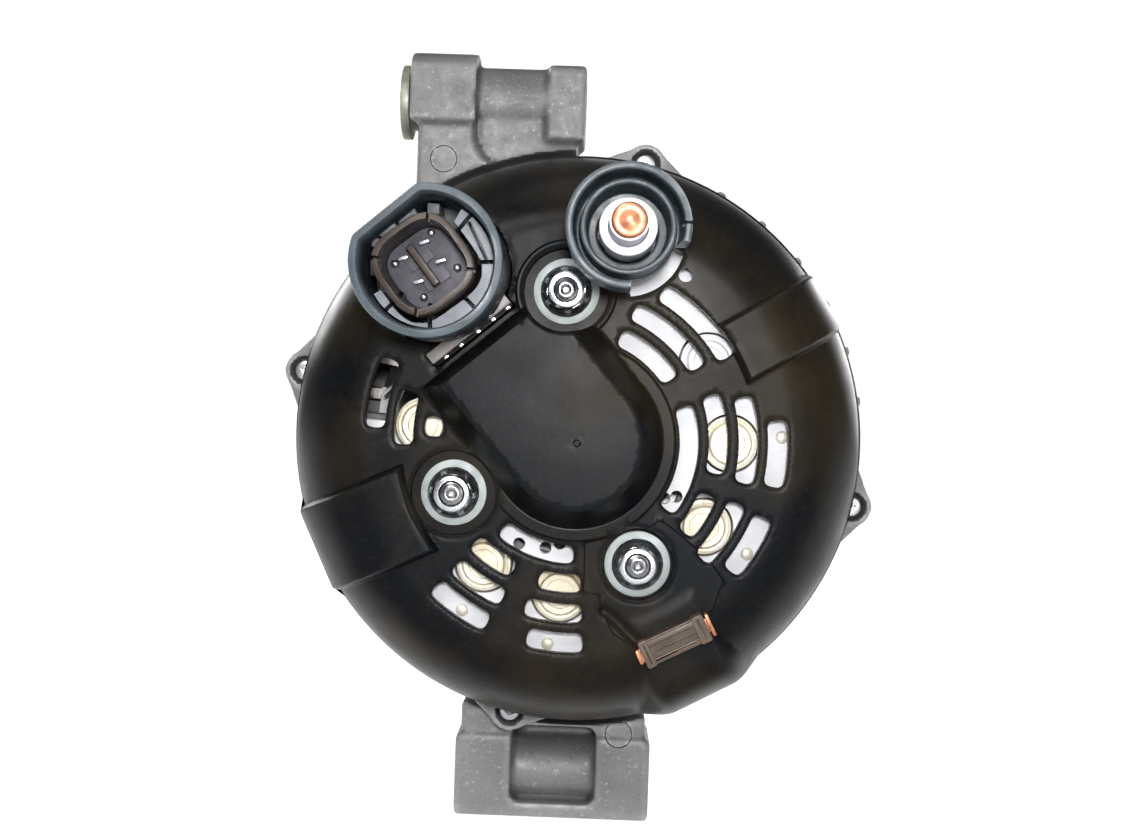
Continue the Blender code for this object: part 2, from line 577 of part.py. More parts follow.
def build_fans(steel, axis):
    piece("fan_rear", steel, [tube(9.6, 44.0, -10.9, -9.4, sides=ROUND)]
          + fan_blades(10, -17.2, -10.0, 30.0, 47.0, 24), parent=axis)
    piece("fan_front", steel, [tube(11.6, 44.0, 37.4, 38.8, sides=ROUND)]
          + fan_blades(10, 38.0, 45.6, 31.0, 47.6, -24), parent=axis)


def build_shaft(steel, insulator, copper, axis):
    piece("rotor_shaft", steel, [
        turned([(0, -57.5), (3.4, -57.5), (3.4, -36.2), (5.95, -36.2), (5.95, -21.0), (SHAFT_RADIUS, -21.0),
                (SHAFT_RADIUS, 37.4), (11.2, 37.4), (11.2, 43.6), (SHAFT_RADIUS, 43.6), (SHAFT_RADIUS, 86.0),
                (7.6, 87.0), (7.6, 90.0), (0, 90.0)], ROUND)],
        [prism(hexagon(8.0, (0, 0)), 82, 95)], parent=axis)
    piece("slip_ring_core", insulator, [
        turned([(3.75, -57.4), (5.0, -57.4), (5.0, -49.2), (6.9, -49.2), (6.9, -46.6), (5.0, -46.6), (5.0, -38.6),
                (6.9, -38.6), (6.9, -36.6), (3.75, -36.6)], ROUND)], parent=axis)
    for number, y0 in enumerate((-56.4, -46.2), 1):
        piece(f"slip_ring_{number}", copper, [tube(5.35, 7.2, y0, y0 + 6.8, sides=ROUND)], parent=axis)


def build_bearing(name, steel, axis, cage_axis, y, bore, outside, ball_path, ball, inner_edge, outer_edge, half):
    """A deep-groove ball bearing as inner race, outer race, and the ball set with its cage."""
    groove = ball + 0.3

    def groove_points(edge):
        sign = 1 if edge > ball_path else -1
        reach = math.sqrt(groove ** 2 - (edge - ball_path) ** 2)
        return [(edge, -reach), (ball_path + sign * groove, -0.35 * reach),
                (ball_path + sign * groove, 0.35 * reach), (edge, reach)]

    inner = [(bore, -half)] + [(inner_edge, -half)] + groove_points(inner_edge) + [(inner_edge, half), (bore, half)]
    outer = [(outside, -half), (outer_edge, -half)] + groove_points(outer_edge) + [(outer_edge, half), (outside, half)]
    piece(f"{name}_bearing_inner", steel, [turned([(r, y + dy) for r, dy in inner], ROUND)], parent=axis)
    piece(f"{name}_bearing_outer", steel, [turned([(r, y + dy) for r, dy in outer], ROUND)])
    balls = []
    count = 8
    for i in range(count):
        profile = [(ball * math.sin(math.radians(a)), y - ball * math.cos(math.radians(a))) for a in range(0, 181, 45)]
        balls.append(turned([(0 if r < 1e-6 else r, v) for r, v in profile], BALL_SIDES, polar(ball_path, 360 / count * i)))
    cage = tube(ball_path - 0.5, ball_path + 0.5, y - 0.7, y + 0.7, sides=ROUND)
    piece(f"{name}_bearing_balls", steel, [cage] + balls, parent=cage_axis)


def build_pulley(steel, bright, axis):
    grooves = []
    pitch, depth, first = 3.56, 2.9, 63.2
    for i in range(6):
        y = first + pitch * i
        grooves += [(27.9, y), (27.9, y + 0.5), (27.9 - depth, y + pitch / 2), (27.9, y + pitch - 0.5)]
    last = first + pitch * 6
    profile = ([(8.85, 58.9), (14.6, 58.9), (14.6, 63.0), (21.5, 63.0), (21.5, 62.0), (27.9, 62.0)] + grooves[1:]
               + [(27.9, last + 1.2), (22.5, last + 1.2), (22.5, 77.5), (8.85, 77.5)])
    piece("pulley", steel, [turned(profile, MIDDLE)], parent=axis)
    piece("pulley_nut", bright, [prism(hexagon(22.0, (0, 0)), 78.6, 85.5),
                                 rod(15.0, 77.9, 79.6, sides=ROUND)],
          [rod(8.9, 70, 95, sides=ROUND)], parent=axis)


def peg_places():
    return [polar(PEG_RING, 45 + 90 * i) for i in range(4)]


def build_retainer(steel):
    pegs = [rod(PEG_RADIUS, 41.6, 49.0, place) for place in peg_places()]
    piece("bearing_retainer", steel, [tube(17.6, 28.6, 41.4, 43.4, sides=ROUND)] + pegs)


def main():
    clear_scene()
    cover_plastic = make_material("cover_plastic", (0.015, 0.016, 0.018), 0.38, 0.0)
    aluminium = make_material("cast_aluminium", (0.56, 0.55, 0.53), 0.55, 1.0)
    bright = make_material("zinc_steel", (0.78, 0.79, 0.82), 0.25, 1.0)
    washer = make_material("washer_steel", (0.55, 0.58, 0.6), 0.45, 1.0)
    steel = make_material("dark_steel", (0.32, 0.32, 0.33), 0.45, 1.0)
    copper = make_material("copper", (0.80, 0.42, 0.26), 0.4, 1.0)
    winding = make_material("enamelled_copper", (0.55, 0.24, 0.10), 0.35, 1.0)
    blue_grey = make_material("blue_grey_plastic", (0.09, 0.12, 0.14), 0.4, 0.0)
    brown = make_material("brown_plastic", (0.16, 0.11, 0.08), 0.45, 0.0)
    carbon = make_material("carbon", (0.03, 0.03, 0.03), 0.7, 0.0)
    fin = make_material("fin_aluminium", (0.88, 0.88, 0.90), 0.3, 1.0)
    diode = make_material("diode_metal", (0.80, 0.74, 0.60), 0.4, 1.0)
    rotor = axis_empty("rotor_axis")
    front_cage = axis_empty("front_cage_axis")
    rear_cage = axis_empty("rear_cage_axis")

    build_cover(cover_plastic)
    build_cover_fasteners(bright, washer)
    build_b_terminal(blue_grey, bright, copper)
    build_clip(brown, copper)
    build_regulator(blue_grey, brown, brown)
    build_brushes(blue_grey, carbon, bright)
    build_rectifier(fin, blue_grey, diode)
    build_rear_housing(aluminium)
    build_front_housing(aluminium)
    build_lug_bush(bright)
    build_stator(steel, winding)
    build_bolts(bright)
    build_poles(steel, rotor)
    build_coil(blue_grey, winding, rotor)
    build_fans(steel, rotor)
    build_shaft(steel, blue_grey, copper, rotor)
    build_bearing("front", steel, rotor, front_cage, 51.0, 8.85, 23.5, 16.0, 4.2, 12.6, 19.4, 7.0)
    build_bearing("rear", steel, rotor, rear_cage, -28.0, 6.3, 16.0, 11.2, 2.3, 9.5, 12.9, 5.0)
    build_pulley(steel, bright, rotor)
    build_retainer(steel)


main()
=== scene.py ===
"""Visual model of a car alternator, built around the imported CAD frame.

The slip-ring end with its black plastic cover faces -Y, towards the camera. +Z is up.
Sizes are in millimetres unless a name says otherwise, and every mesh is written in metres.
"""

import math

import bmesh
import bpy
from mathutils import Matrix, Vector
from mathutils.geometry import delaunay_2d_cdt
from mathutils.kdtree import KDTree


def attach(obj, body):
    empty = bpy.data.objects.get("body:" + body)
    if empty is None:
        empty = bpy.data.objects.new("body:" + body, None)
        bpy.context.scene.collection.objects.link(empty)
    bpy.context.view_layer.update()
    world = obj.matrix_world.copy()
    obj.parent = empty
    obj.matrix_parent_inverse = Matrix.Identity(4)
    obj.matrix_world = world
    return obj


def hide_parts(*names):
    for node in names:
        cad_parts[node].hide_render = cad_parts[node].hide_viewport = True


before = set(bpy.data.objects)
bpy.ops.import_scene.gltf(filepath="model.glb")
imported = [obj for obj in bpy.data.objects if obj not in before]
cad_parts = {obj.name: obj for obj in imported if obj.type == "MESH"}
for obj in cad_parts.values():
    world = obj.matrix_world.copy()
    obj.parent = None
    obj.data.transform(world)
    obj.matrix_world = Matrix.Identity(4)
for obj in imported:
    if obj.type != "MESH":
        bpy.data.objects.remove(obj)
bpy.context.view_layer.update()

MM = 0.001
FLOOR_GLOW = 0.95                # light that the paper gives off behind the cover
WORLD_DIM, WORLD_BRIGHT = 0.15, 1.1
WORLD_TURN = (0.85, 0.895)       # share of +Y between which the surroundings go from dim to bright

# Places and sizes shared with the CAD model
FACE_Y = -49.5                   # flat face of the cover
BOWL_RADIUS, FLAT_RADIUS = 65.4, 46.6
BOSS_TOP_Y, BOSS_ANGLE = -61.0, 130.5
BOLT_RADIUS, BOLT_START_ANGLE = 67.1, 78.0
STUD_PLACES = ((-3.15, 32.6), (-26.3, -12.1), (14.35, -26.3))
B_TERMINAL = (9.5, 44.7)
CONNECTOR = (-31.1, 35.9)
INSERT, INSERT_TURN = (-32.1, 35.5), 38.0
CLIP, CLIP_TURN = (22.8, -41.9), 27.0
DIODE_RING, DIODE_ANGLES = 34.0, (33.0, 1.0, -32.0, -94.0, -125.0, 176.0)
FIN_Y = -43.6
HOUSING_RADIUS = 66.0
CORE_BACK_Y, CORE_FRONT_Y = -2.0, 30.0
TOP_LUG_Z, BOTTOM_LUG_Z, LUG_BORE = 82.0, -84.0, 5.3

# Cooling slots of the cover: ring (inner radius, outer radius) and the angles that each slot spans
SLOTS = (
    ((22.6, 26.7), ((35, 69), (-35, 20), (-128, -89))),
    ((28.9, 33.0), ((33, 68), (-11, 21), (-38, -20), (-103, -86), (-133, -114), (172, 180))),
    ((35.4, 39.6), ((31, 62), (-12, 17), (-41, -19), (-105, -86), (-132, -113), (165, 183))),
    ((41.7, 46.1), ((-11, 8), (-38, -20), (-102, -86), (-132, -114), (158, 178))),
)


# ---------------------------------------------------------------- outlines of (x, z) corners

def polar(radius, degrees, at=(0.0, 0.0)):
    angle = math.radians(degrees)
    return at[0] + radius * math.cos(angle), at[1] + radius * math.sin(angle)


def arc(radius, start, end, steps, at=(0.0, 0.0)):
    return [polar(radius, start + (end - start) * i / steps, at) for i in range(steps + 1)]


def circle(radius, at=(0.0, 0.0), steps=48, phase=0.0):
    return [polar(radius, 360 * (i + phase) / steps, at) for i in range(steps)]


def turned_to(outline, degrees, at=(0.0, 0.0)):
    c, s = math.cos(math.radians(degrees)), math.sin(math.radians(degrees))
    return [(c * x - s * z + at[0], s * x + c * z + at[1]) for x, z in outline]


def rectangle(x0, x1, z0, z1):
    return [(x0, z0), (x1, z0), (x1, z1), (x0, z1)]


def rounded(corners, reach, steps=4, closed=True):
    """The outline with each corner drawn as a curve that starts `reach` before it."""
    points = []
    count = len(corners)
    for i, corner in enumerate(corners):
        here = Vector(corner)
        if not closed and i in (0, count - 1):
            points.append(tuple(here))
            continue
        before = Vector(corners[i - 1]) - here
        after = Vector(corners[(i + 1) % count]) - here
        cut = min(reach, 0.46 * before.length, 0.46 * after.length)
        first = here + before.normalized() * cut
        last = here + after.normalized() * cut
        for k in range(steps + 1):
            t = k / steps
            points.append(tuple(first * (1 - t) ** 2 + here * (2 * t * (1 - t)) + last * t * t))
    return points


def inset(outline, amount):
    """A finely stepped outline moved in by `amount`, or out where it is negative."""
    count = len(outline)
    area = sum(outline[i - 1][0] * outline[i][1] - outline[i][0] * outline[i - 1][1] for i in range(count))
    side = 1 if area > 0 else -1
    moved = []
    for i, (x, z) in enumerate(outline):
        dx = outline[(i + 1) % count][0] - outline[i - 1][0]
        dz = outline[(i + 1) % count][1] - outline[i - 1][1]
        size = math.hypot(dx, dz) or 1.0
        moved.append((x - side * dz / size * amount, z + side * dx / size * amount))
    return moved


def sector(inner, outer, start, end, steps=8, at=(0.0, 0.0)):
    return arc(outer, start, end, steps, at) + arc(inner, end, start, steps, at)


def slot_outline(inner, outer, start, end, grow=0.0, corner=1.7, step=1.0):
    """Outline of a curved slot with rounded ends, made `grow` larger all round."""
    middle = (inner + outer) / 2
    half_width = (outer - inner) / 2 + grow
    half_length = math.radians((end - start) / 2) * middle + grow
    centre = math.radians((start + end) / 2)
    flat = rounded(rectangle(-half_width, half_width, -half_length, half_length), corner + grow, 4)
    dense = []
    for i, (u, v) in enumerate(flat):
        nu, nv = flat[(i + 1) % len(flat)]
        parts = max(1, int(math.hypot(nu - u, nv - v) / step))
        dense += [(u + (nu - u) * k / parts, v + (nv - v) * k / parts) for k in range(parts)]
    return [((middle + u) * math.cos(centre + v / middle), (middle + u) * math.sin(centre + v / middle))
            for u, v in dense]


def rounded_square(side, corner, degrees, at):
    half = side / 2
    return turned_to(rounded(rectangle(-half, half, -half, half), corner * 1.1, 8), degrees, at)


def boss_outline(radius, reach, corner=1.6):
    """Half round about the axis, with straight sides that run to a flat end at `reach`."""
    end = rounded([(0, -radius), (reach, -radius), (reach, radius), (0, radius)], corner, 4, closed=False)
    return turned_to(end + arc(radius, 95, 265, 34), BOSS_ANGLE)


def shroud_outline(inset_by=0.0, steps=56):
    """Round, with a straight run across its outer upper left side."""
    radius = 15.6 - inset_by
    flat = 13.2 - inset_by
    half_angle = math.degrees(math.acos(flat / radius))
    around = arc(radius, BOSS_ANGLE + half_angle + 5, BOSS_ANGLE + 355 - half_angle, steps, CONNECTOR)
    corners = [polar(radius, BOSS_ANGLE + side * half_angle, CONNECTOR) for side in (-1, 1)]
    ends = rounded([around[-1], corners[0], corners[1], around[0]], 2.2, 4, closed=False)
    return around + ends[1:-1]


def bolt_angles():
    return [BOLT_START_ANGLE + 90 * i for i in range(4)]


# ---------------------------------------------------------------- shapes as (vertices, faces)

def turned(profile, sides=64, at=(0.0, 0.0), phase=0.0):
    """A closed outline of (radius, y) corners, turned about the line along Y through `at`."""
    verts, rings, faces = [], [], []
    for radius, y in profile:
        first = len(verts)
        if radius < 1e-6:
            verts.append((at[0], y, at[1]))
            rings.append([first] * sides)
            continue
        rings.append(list(range(first, first + sides)))
        for x, z in circle(radius, at, sides, phase):
            verts.append((x, y, z))
    for ring, after in zip(rings, rings[1:] + rings[:1]):
        for i in range(sides):
            j = (i + 1) % sides
            face = list(dict.fromkeys((ring[i], ring[j], after[j], after[i])))
            if len(face) > 2:
                faces.append(face)
    return verts, faces


def rod(radius, y0, y1, at=(0.0, 0.0), sides=32, edge=0.0):
    """A round bar along Y, with its end edges broken by `edge`."""
    if not edge:
        return turned([(0, y0), (radius, y0), (radius, y1), (0, y1)], sides, at)
    return turned([(0, y0), (radius - edge, y0), (radius - 0.3 * edge, y0 + 0.3 * edge), (radius, y0 + edge),
                   (radius, y1 - edge), (radius - 0.3 * edge, y1 - 0.3 * edge), (radius - edge, y1), (0, y1)],
                  sides, at)


def loft(sections):
    """A solid through outlines of the same number of corners, each given as (outline, y)."""
    count = len(sections[0][0])
    verts = [(x, y, z) for outline, y in sections for x, z in outline]
    faces = [list(range(count)), list(range(len(verts) - 1, len(verts) - count - 1, -1))]
    for layer in range(len(sections) - 1):
        low, high = layer * count, (layer + 1) * count
        faces += [[low + i, low + (i + 1) % count, high + (i + 1) % count, high + i] for i in range(count)]
    return verts, faces


def prism(outline, y0, y1, edge=0.0):
    """A solid of one outline along Y. `edge` rounds its front edge, at y0, and its back one."""
    if not edge:
        return loft([(outline, y0), (outline, y1)])
    steps = ((1.0, 0.0), (0.45, 0.12), (0.12, 0.45), (0.0, 1.0))
    front = [(inset(outline, edge * a), y0 + edge * b) for a, b in steps]
    back = [(inset(outline, edge * a), y1 - edge * b) for a, b in reversed(steps)]
    return loft(front + back)


def moved(shape, matrix):
    verts, faces = shape
    return [tuple(matrix @ Vector(v)) for v in verts], faces


def along_x(shape, at):
    """Turns a shape made along Y so that it lies along X, and puts it at (x, y, z)."""
    return moved(shape, Matrix.Translation(at) @ Matrix.Rotation(math.radians(-90), 4, "Z"))


def block(low, high, edge=0.0):
    return prism(rectangle(low[0], high[0], low[2], high[2]), low[1], high[1], edge)


def x_prism(section, x0, x1, edge=0.0):
    """A solid whose (y, z) section runs from x0 to x1."""
    verts, faces = prism(section, x0, x1, edge)
    return [(y, x, z) for x, y, z in verts], faces


# ---------------------------------------------------------------- objects

def mesh_of(name, shapes):
    mesh = bpy.data.meshes.new(name)
    work = bmesh.new()
    for verts, faces in shapes:
        made = [work.verts.new([value * MM for value in v]) for v in verts]
        for face in faces:
            work.faces.new([made[i] for i in face])
    bmesh.ops.recalc_face_normals(work, faces=work.faces[:])
    work.to_mesh(mesh)
    work.free()
    return mesh


def new_object(name, mesh):
    obj = bpy.data.objects.new(name, mesh)
    bpy.context.scene.collection.objects.link(obj)
    return obj


def applied(obj):
    """Turns the object's modifiers into its mesh."""
    mesh = bpy.data.meshes.new_from_object(obj.evaluated_get(bpy.context.evaluated_depsgraph_get()))
    obj.modifiers.clear()
    obj.data = mesh
    return obj


def boolean(obj, shapes, operation, crossing=True):
    """Joins shapes to a mesh, or cuts them from it. `crossing`: the shapes run through each other."""
    tool = new_object("tool", mesh_of("tool", shapes))
    modifier = obj.modifiers.new("Boolean", "BOOLEAN")
    modifier.operation = operation
    modifier.solver = "EXACT"
    modifier.use_self = crossing
    modifier.object = tool
    applied(obj)
    bpy.data.objects.remove(tool, do_unlink=True)


def cast_skin(obj, grain):
    """Rounds every edge of a body as casting does, to about the size of the grain."""
    remesh = obj.modifiers.new("Remesh", "REMESH")
    remesh.mode = "VOXEL"
    remesh.voxel_size = grain * MM
    smooth = obj.modifiers.new("Smooth", "SMOOTH")
    smooth.factor = 0.5
    smooth.iterations = 3
    applied(obj)


def piece(name, look, shapes, body="housing", nodes=(), cuts=(), cast=0.0, sharp=35):
    """A visible piece: shapes joined, less the cuts. `cast` is the grain size of a cast body's rounding."""
    obj = new_object(name, mesh_of(name, shapes[:1]))
    if shapes[1:]:
        boolean(obj, shapes[1:], "UNION")
    if cuts:
        boolean(obj, cuts, "DIFFERENCE")
    if cast:
        cast_skin(obj, cast)
    return dressed(obj, name, look, body, nodes, sharp)


def dressed(obj, name, look, body, nodes, sharp=35):
    """Gives a finished mesh its name, material, smooth faces, body and CAD nodes."""
    obj.data.name = name
    obj.data.materials.clear()
    obj.data.materials.append(look)
    obj.data.shade_smooth()
    obj.data.set_sharp_from_angle(angle=math.radians(sharp))
    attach(obj, body)
    if nodes:
        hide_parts(*nodes)
    return obj


# ---------------------------------------------------------------- materials

class Look:
    """A node material, with short ways to add its nodes and join them."""

    def __init__(self, name, metallic=0.0, specular=0.5, coat=0.0, coat_roughness=0.1):
        self.material = bpy.data.materials.new(name)
        self.material.use_nodes = True
        self.tree = self.material.node_tree
        self.shader = self.tree.nodes["Principled BSDF"]
        self.shader.inputs["Metallic"].default_value = metallic
        self.shader.inputs["Specular IOR Level"].default_value = specular
        self.shader.inputs["Coat Weight"].default_value = coat
        self.shader.inputs["Coat Roughness"].default_value = coat_roughness
        self.place = self.add("ShaderNodeTexCoord").outputs["Object"]

    def add(self, kind, values=None, **settings):
        node = self.tree.nodes.new(kind)
        for key, value in settings.items():
            setattr(node, key, value)
        for socket, value in (values or {}).items():
            if isinstance(value, bpy.types.NodeSocket):
                self.tree.links.new(value, node.inputs[socket])
            else:
                node.inputs[socket].default_value = value
        return node

    def noise(self, scale, detail=4.0, roughness=0.6, stretch=(1.0, 1.0, 1.0), turn=(0.0, 0.0, 0.0)):
        """Noise with `scale` cells to the metre."""
        mapping = self.add("ShaderNodeMapping", {"Vector": self.place, "Scale": stretch, "Rotation": turn})
        made = self.add("ShaderNodeTexNoise", {"Vector": mapping.outputs["Vector"], "Scale": scale,
                                               "Detail": detail, "Roughness": roughness})
        return made.outputs["Fac"]

    def cells(self, scale, feature="F1"):
        made = self.add("ShaderNodeTexVoronoi", {"Vector": self.place, "Scale": scale}, feature=feature)
        return made.outputs["Distance"]

    def span(self, source, low, high, start=0.3, end=0.7):
        made = self.add("ShaderNodeMapRange", {"Value": source, "From Min": start, "From Max": end,
                                               "To Min": low, "To Max": high})
        return made.outputs["Result"]

    def mix(self, amount, first, second):
        made = self.add("ShaderNodeMix", {0: amount, 6: first, 7: second}, data_type="RGBA")
        return made.outputs[2]

    def maths(self, operation, first, second=0.0):
        return self.add("ShaderNodeMath", {0: first, 1: second}, operation=operation).outputs[0]

    def patched(self, height, low, high, first, second, amount=1.0):
        """The first colour, going to the second by `amount` where the height passes from low to high."""
        return self.mix(self.span(height, 0.0, amount, low, high), first, second)

    def edged(self, colour, amount, edge_colour, *limits):
        """The colour, going to the edge colour by `amount` on outer edges."""
        return self.mix(self.maths("MULTIPLY", self.edges(*limits), amount), colour, edge_colour)

    def edges(self, low=0.50, high=0.56):
        """High on outer edges of the mesh and low elsewhere, or in hollows where low is above high."""
        return self.span(self.add("ShaderNodeNewGeometry").outputs["Pointiness"], 0.0, 1.0, low, high)

    def axis_part(self, axis):
        return self.add("ShaderNodeSeparateXYZ", {"Vector": self.place}).outputs[axis]

    def bump(self, height, strength, distance_mm):
        """Adds relief on top of the relief that is already there."""
        values = {"Height": height, "Strength": strength, "Distance": distance_mm * MM}
        made = self.add("ShaderNodeBump", values)
        socket = self.shader.inputs["Normal"]
        if socket.is_linked:
            self.tree.links.new(socket.links[0].from_socket, made.inputs["Normal"])
        self.tree.links.new(made.outputs["Normal"], socket)

    def give(self, **sockets):
        for name, value in sockets.items():
            socket = self.shader.inputs[name.replace("_", " ")]
            if isinstance(value, bpy.types.NodeSocket):
                self.tree.links.new(value, socket)
            else:
                socket.default_value = value
        return self.material


def rgb(red, green, blue):
    return (red, green, blue, 1.0)


def black_moulding():
    """Glass-filled black plastic with a faint brown bloom, satin on the face and rubbed on its edges."""
    look = Look("black_moulding", specular=0.12)
    bloom = look.noise(26, 5.0)
    colour = look.patched(bloom, 0.42, 0.70, rgb(0.004, 0.005, 0.0065), rgb(0.028, 0.020, 0.010))
    dust = look.noise(900, 2.0, 0.7)
    colour = look.patched(dust, 0.56, 0.78, colour, rgb(0.06, 0.06, 0.055), 0.16)
    colour = look.edged(colour, 0.3, rgb(0.06, 0.065, 0.07), 0.51, 0.62)
    look.bump(look.noise(1500, 3.0), 0.16, 0.10)
    look.bump(look.noise(120, 2.0), 0.10, 0.35)
    return look.give(Base_Color=colour, Roughness=look.span(look.noise(42, 5.0), 0.27, 0.46))


def painted_light_grey_moulding(name, shade):
    """Glass-filled plastic with swirls. Its blue-grey tone is partly painted flash light on black plastic,
    its pale rims are a painted highlight, and it is given painted shade, as strong as `shade`, deeper in
    behind the rims.
    """
    look = Look(name, specular=0.42)
    swirl = look.noise(160, 6.0, 0.65, (1.0, 0.35, 1.0))
    # Swirl colours lighter than the cover's black moulding: partly real tone, partly painted flash light.
    colour = look.patched(swirl, 0.35, 0.68, rgb(0.018, 0.028, 0.035), rgb(0.075, 0.10, 0.118))
    fleck = look.noise(1400, 2.0, 0.7)
    colour = look.patched(fleck, 0.60, 0.75, colour, rgb(0.19, 0.225, 0.25), 0.5)
    # Painted highlight: outer rims lifted to pale blue-grey, standing in for light caught on the edges.
    colour = look.edged(colour, 0.45, rgb(0.19, 0.23, 0.26))
    # Painted shade: darker towards the back of the socket and the cup, as strong as `shade`.
    depth = look.span(look.axis_part("Y"), 0.0, shade, -74.6 * MM, -69.0 * MM)
    colour = look.mix(depth, colour, rgb(0.012, 0.014, 0.018))
    look.bump(look.noise(1100, 3.0), 0.2, 0.10)
    return look.give(Base_Color=colour, Roughness=look.span(look.noise(210, 3.0), 0.26, 0.44))


def brown_moulding(name, dark, light, roughness=(0.32, 0.5), specular=0.5):
    """Mottled plastic, a little lighter along its edges."""
    look = Look(name, specular=specular)
    patch = look.noise(220, 5.0)
    colour = look.patched(patch, 0.36, 0.66, dark, light)
    colour = look.edged(colour, 0.4, rgb(*[min(1.0, 2.2 * value) for value in light[:3]]))
    look.bump(look.noise(1300, 3.0), 0.22, 0.08)
    return look.give(Base_Color=colour, Roughness=look.span(look.noise(400, 3.0), *roughness))


def cast_aluminium(name, dark, light):
    """Die-cast aluminium: fine sandy skin, flow marks, darker grime in the pores, and painted shade in its
    creases and hollows.
    """
    look = Look(name, metallic=0.55, specular=0.5)
    flow = look.noise(45, 6.0, 0.62)
    colour = look.patched(flow, 0.34, 0.68, dark, light)
    speck = look.noise(1250, 3.0, 0.75)
    colour = look.patched(speck, 0.54, 0.74, colour, rgb(0.13, 0.12, 0.11), 0.62)
    light_speck = look.noise(900, 2.0, 0.7, turn=(0.7, 0.3, 0.2))
    colour = look.patched(light_speck, 0.60, 0.76, colour, rgb(0.62, 0.60, 0.57), 0.5)
    colour = look.edged(colour, 0.35, rgb(0.60, 0.60, 0.59), 0.505, 0.57)
    # Painted shade: creases and hollows darkened almost to black, where shade falls.
    colour = look.edged(colour, 0.75, rgb(0.045, 0.04, 0.045), 0.495, 0.44)
    look.bump(look.noise(1000, 4.0, 0.7), 0.34, 0.16)
    look.bump(look.cells(420), 0.12, 0.25)
    return look.give(Base_Color=colour, Roughness=look.span(look.noise(300, 3.0), 0.48, 0.66))


def machined_metal(name, dark, light, roughness, scratch=(1.0, 14.0, 1.0), metallic=1.0):
    """Bare or plated metal with fine tool lines across `scratch` and a slight cloudiness."""
    look = Look(name, metallic=metallic)
    cloud = look.noise(170, 4.0)
    colour = look.patched(cloud, 0.34, 0.66, dark, light)
    lines = look.noise(300, 3.0, 0.6, scratch)
    look.bump(lines, 0.12, 0.05)
    look.bump(look.noise(1700, 2.0), 0.06, 0.04)
    return look.give(Base_Color=colour, Roughness=look.span(lines, roughness[0], roughness[1], 0.3, 0.7))


def fin_metal():
    """Stamped aluminium heat sink, bright and brushed one way."""
    look = Look("fin_metal", metallic=0.05)
    brushed = look.noise(420, 4.0, 0.6, (1.0, 1.0, 9.0), (0.0, 0.6, 0.0))
    colour = look.patched(brushed, 0.3, 0.7, rgb(0.90, 0.90, 0.94), rgb(0.98, 0.98, 1.0))
    stain = look.noise(120, 5.0)
    colour = look.patched(stain, 0.58, 0.74, colour, rgb(0.74, 0.72, 0.82), 0.35)
    look.bump(brushed, 0.15, 0.06)
    return look.give(Base_Color=colour, Roughness=look.span(look.noise(240, 3.0), 0.40, 0.60))


def diode_metal():
    """Nickel-plated cups with a warm tarnish, turned in rings."""
    look = Look("diode_metal", metallic=0.35)
    tarnish = look.noise(190, 5.0)
    colour = look.patched(tarnish, 0.35, 0.7, rgb(0.93, 0.89, 0.78), rgb(0.80, 0.70, 0.50))
    colour = look.patched(look.noise(1200, 3.0), 0.56, 0.75, colour, rgb(0.34, 0.29, 0.22), 0.4)
    look.bump(look.noise(900, 3.0), 0.15, 0.06)
    return look.give(Base_Color=colour, Roughness=look.span(look.noise(500, 3.0), 0.34, 0.55))


def laminated_steel():
    """A stack of thin electrical-steel sheets, varnished and rusting at their edges."""
    look = Look("laminated_steel", metallic=0.7)
    height = look.maths("MULTIPLY", look.axis_part("Y"), 2 * math.pi / (0.65 * MM))
    sheets = look.maths("SINE", height)
    rust = look.noise(95, 6.0, 0.68)
    colour = look.patched(rust, 0.44, 0.66, rgb(0.10, 0.10, 0.105), rgb(0.19, 0.095, 0.045))
    colour = look.patched(sheets, -1.0, 1.0, colour, rgb(0.24, 0.235, 0.23), 0.45)
    look.bump(sheets, 0.5, 0.12)
    look.bump(look.noise(900, 3.0), 0.2, 0.08)
    return look.give(Base_Color=colour, Roughness=look.span(rust, 0.42, 0.75))


def enamelled_copper():
    """Copper wire under amber enamel and dripped varnish."""
    look = Look("enamelled_copper", metallic=0.75, coat=0.6, coat_roughness=0.16)
    varnish = look.noise(150, 5.0)
    colour = look.patched(varnish, 0.35, 0.68, rgb(0.36, 0.13, 0.045), rgb(0.66, 0.30, 0.11))
    strand = look.noise(650, 2.0, 0.5, (1.0, 0.2, 1.0))
    look.bump(strand, 0.3, 0.15)
    return look.give(Base_Color=colour, Roughness=look.span(look.noise(420, 3.0), 0.25, 0.5))


def bare_copper():
    """Copper with an orange bloom and darker oxide in its hollows."""
    look = Look("bare_copper", metallic=0.8)
    oxide = look.noise(420, 5.0)
    colour = look.patched(oxide, 0.36, 0.66, rgb(0.86, 0.36, 0.19), rgb(0.42, 0.17, 0.10))
    look.bump(look.noise(800, 3.0), 0.2, 0.08)
    return look.give(Base_Color=colour, Roughness=look.span(oxide, 0.28, 0.5))


def dark_steel(name, dark, light, roughness=(0.35, 0.6), metallic=0.85):
    """Phosphated or sooty steel, with brighter rubbed edges."""
    look = Look(name, metallic=metallic)
    soot = look.noise(110, 6.0)
    colour = look.patched(soot, 0.34, 0.68, dark, light)
    colour = look.edged(colour, 0.6, rgb(0.5, 0.5, 0.5))
    look.bump(look.noise(1300, 3.0), 0.18, 0.07)
    return look.give(Base_Color=colour, Roughness=look.span(look.noise(260, 4.0), *roughness))


def carbon_block():
    """Pressed graphite, matt with a silvery fleck."""
    look = Look("carbon_block", metallic=0.2)
    fleck = look.noise(2600, 2.0, 0.7)
    colour = look.patched(fleck, 0.5, 0.75, rgb(0.012, 0.012, 0.013), rgb(0.10, 0.10, 0.11))
    look.bump(fleck, 0.2, 0.05)
    return look.give(Base_Color=colour, Roughness=look.span(look.noise(500, 3.0), 0.55, 0.75))


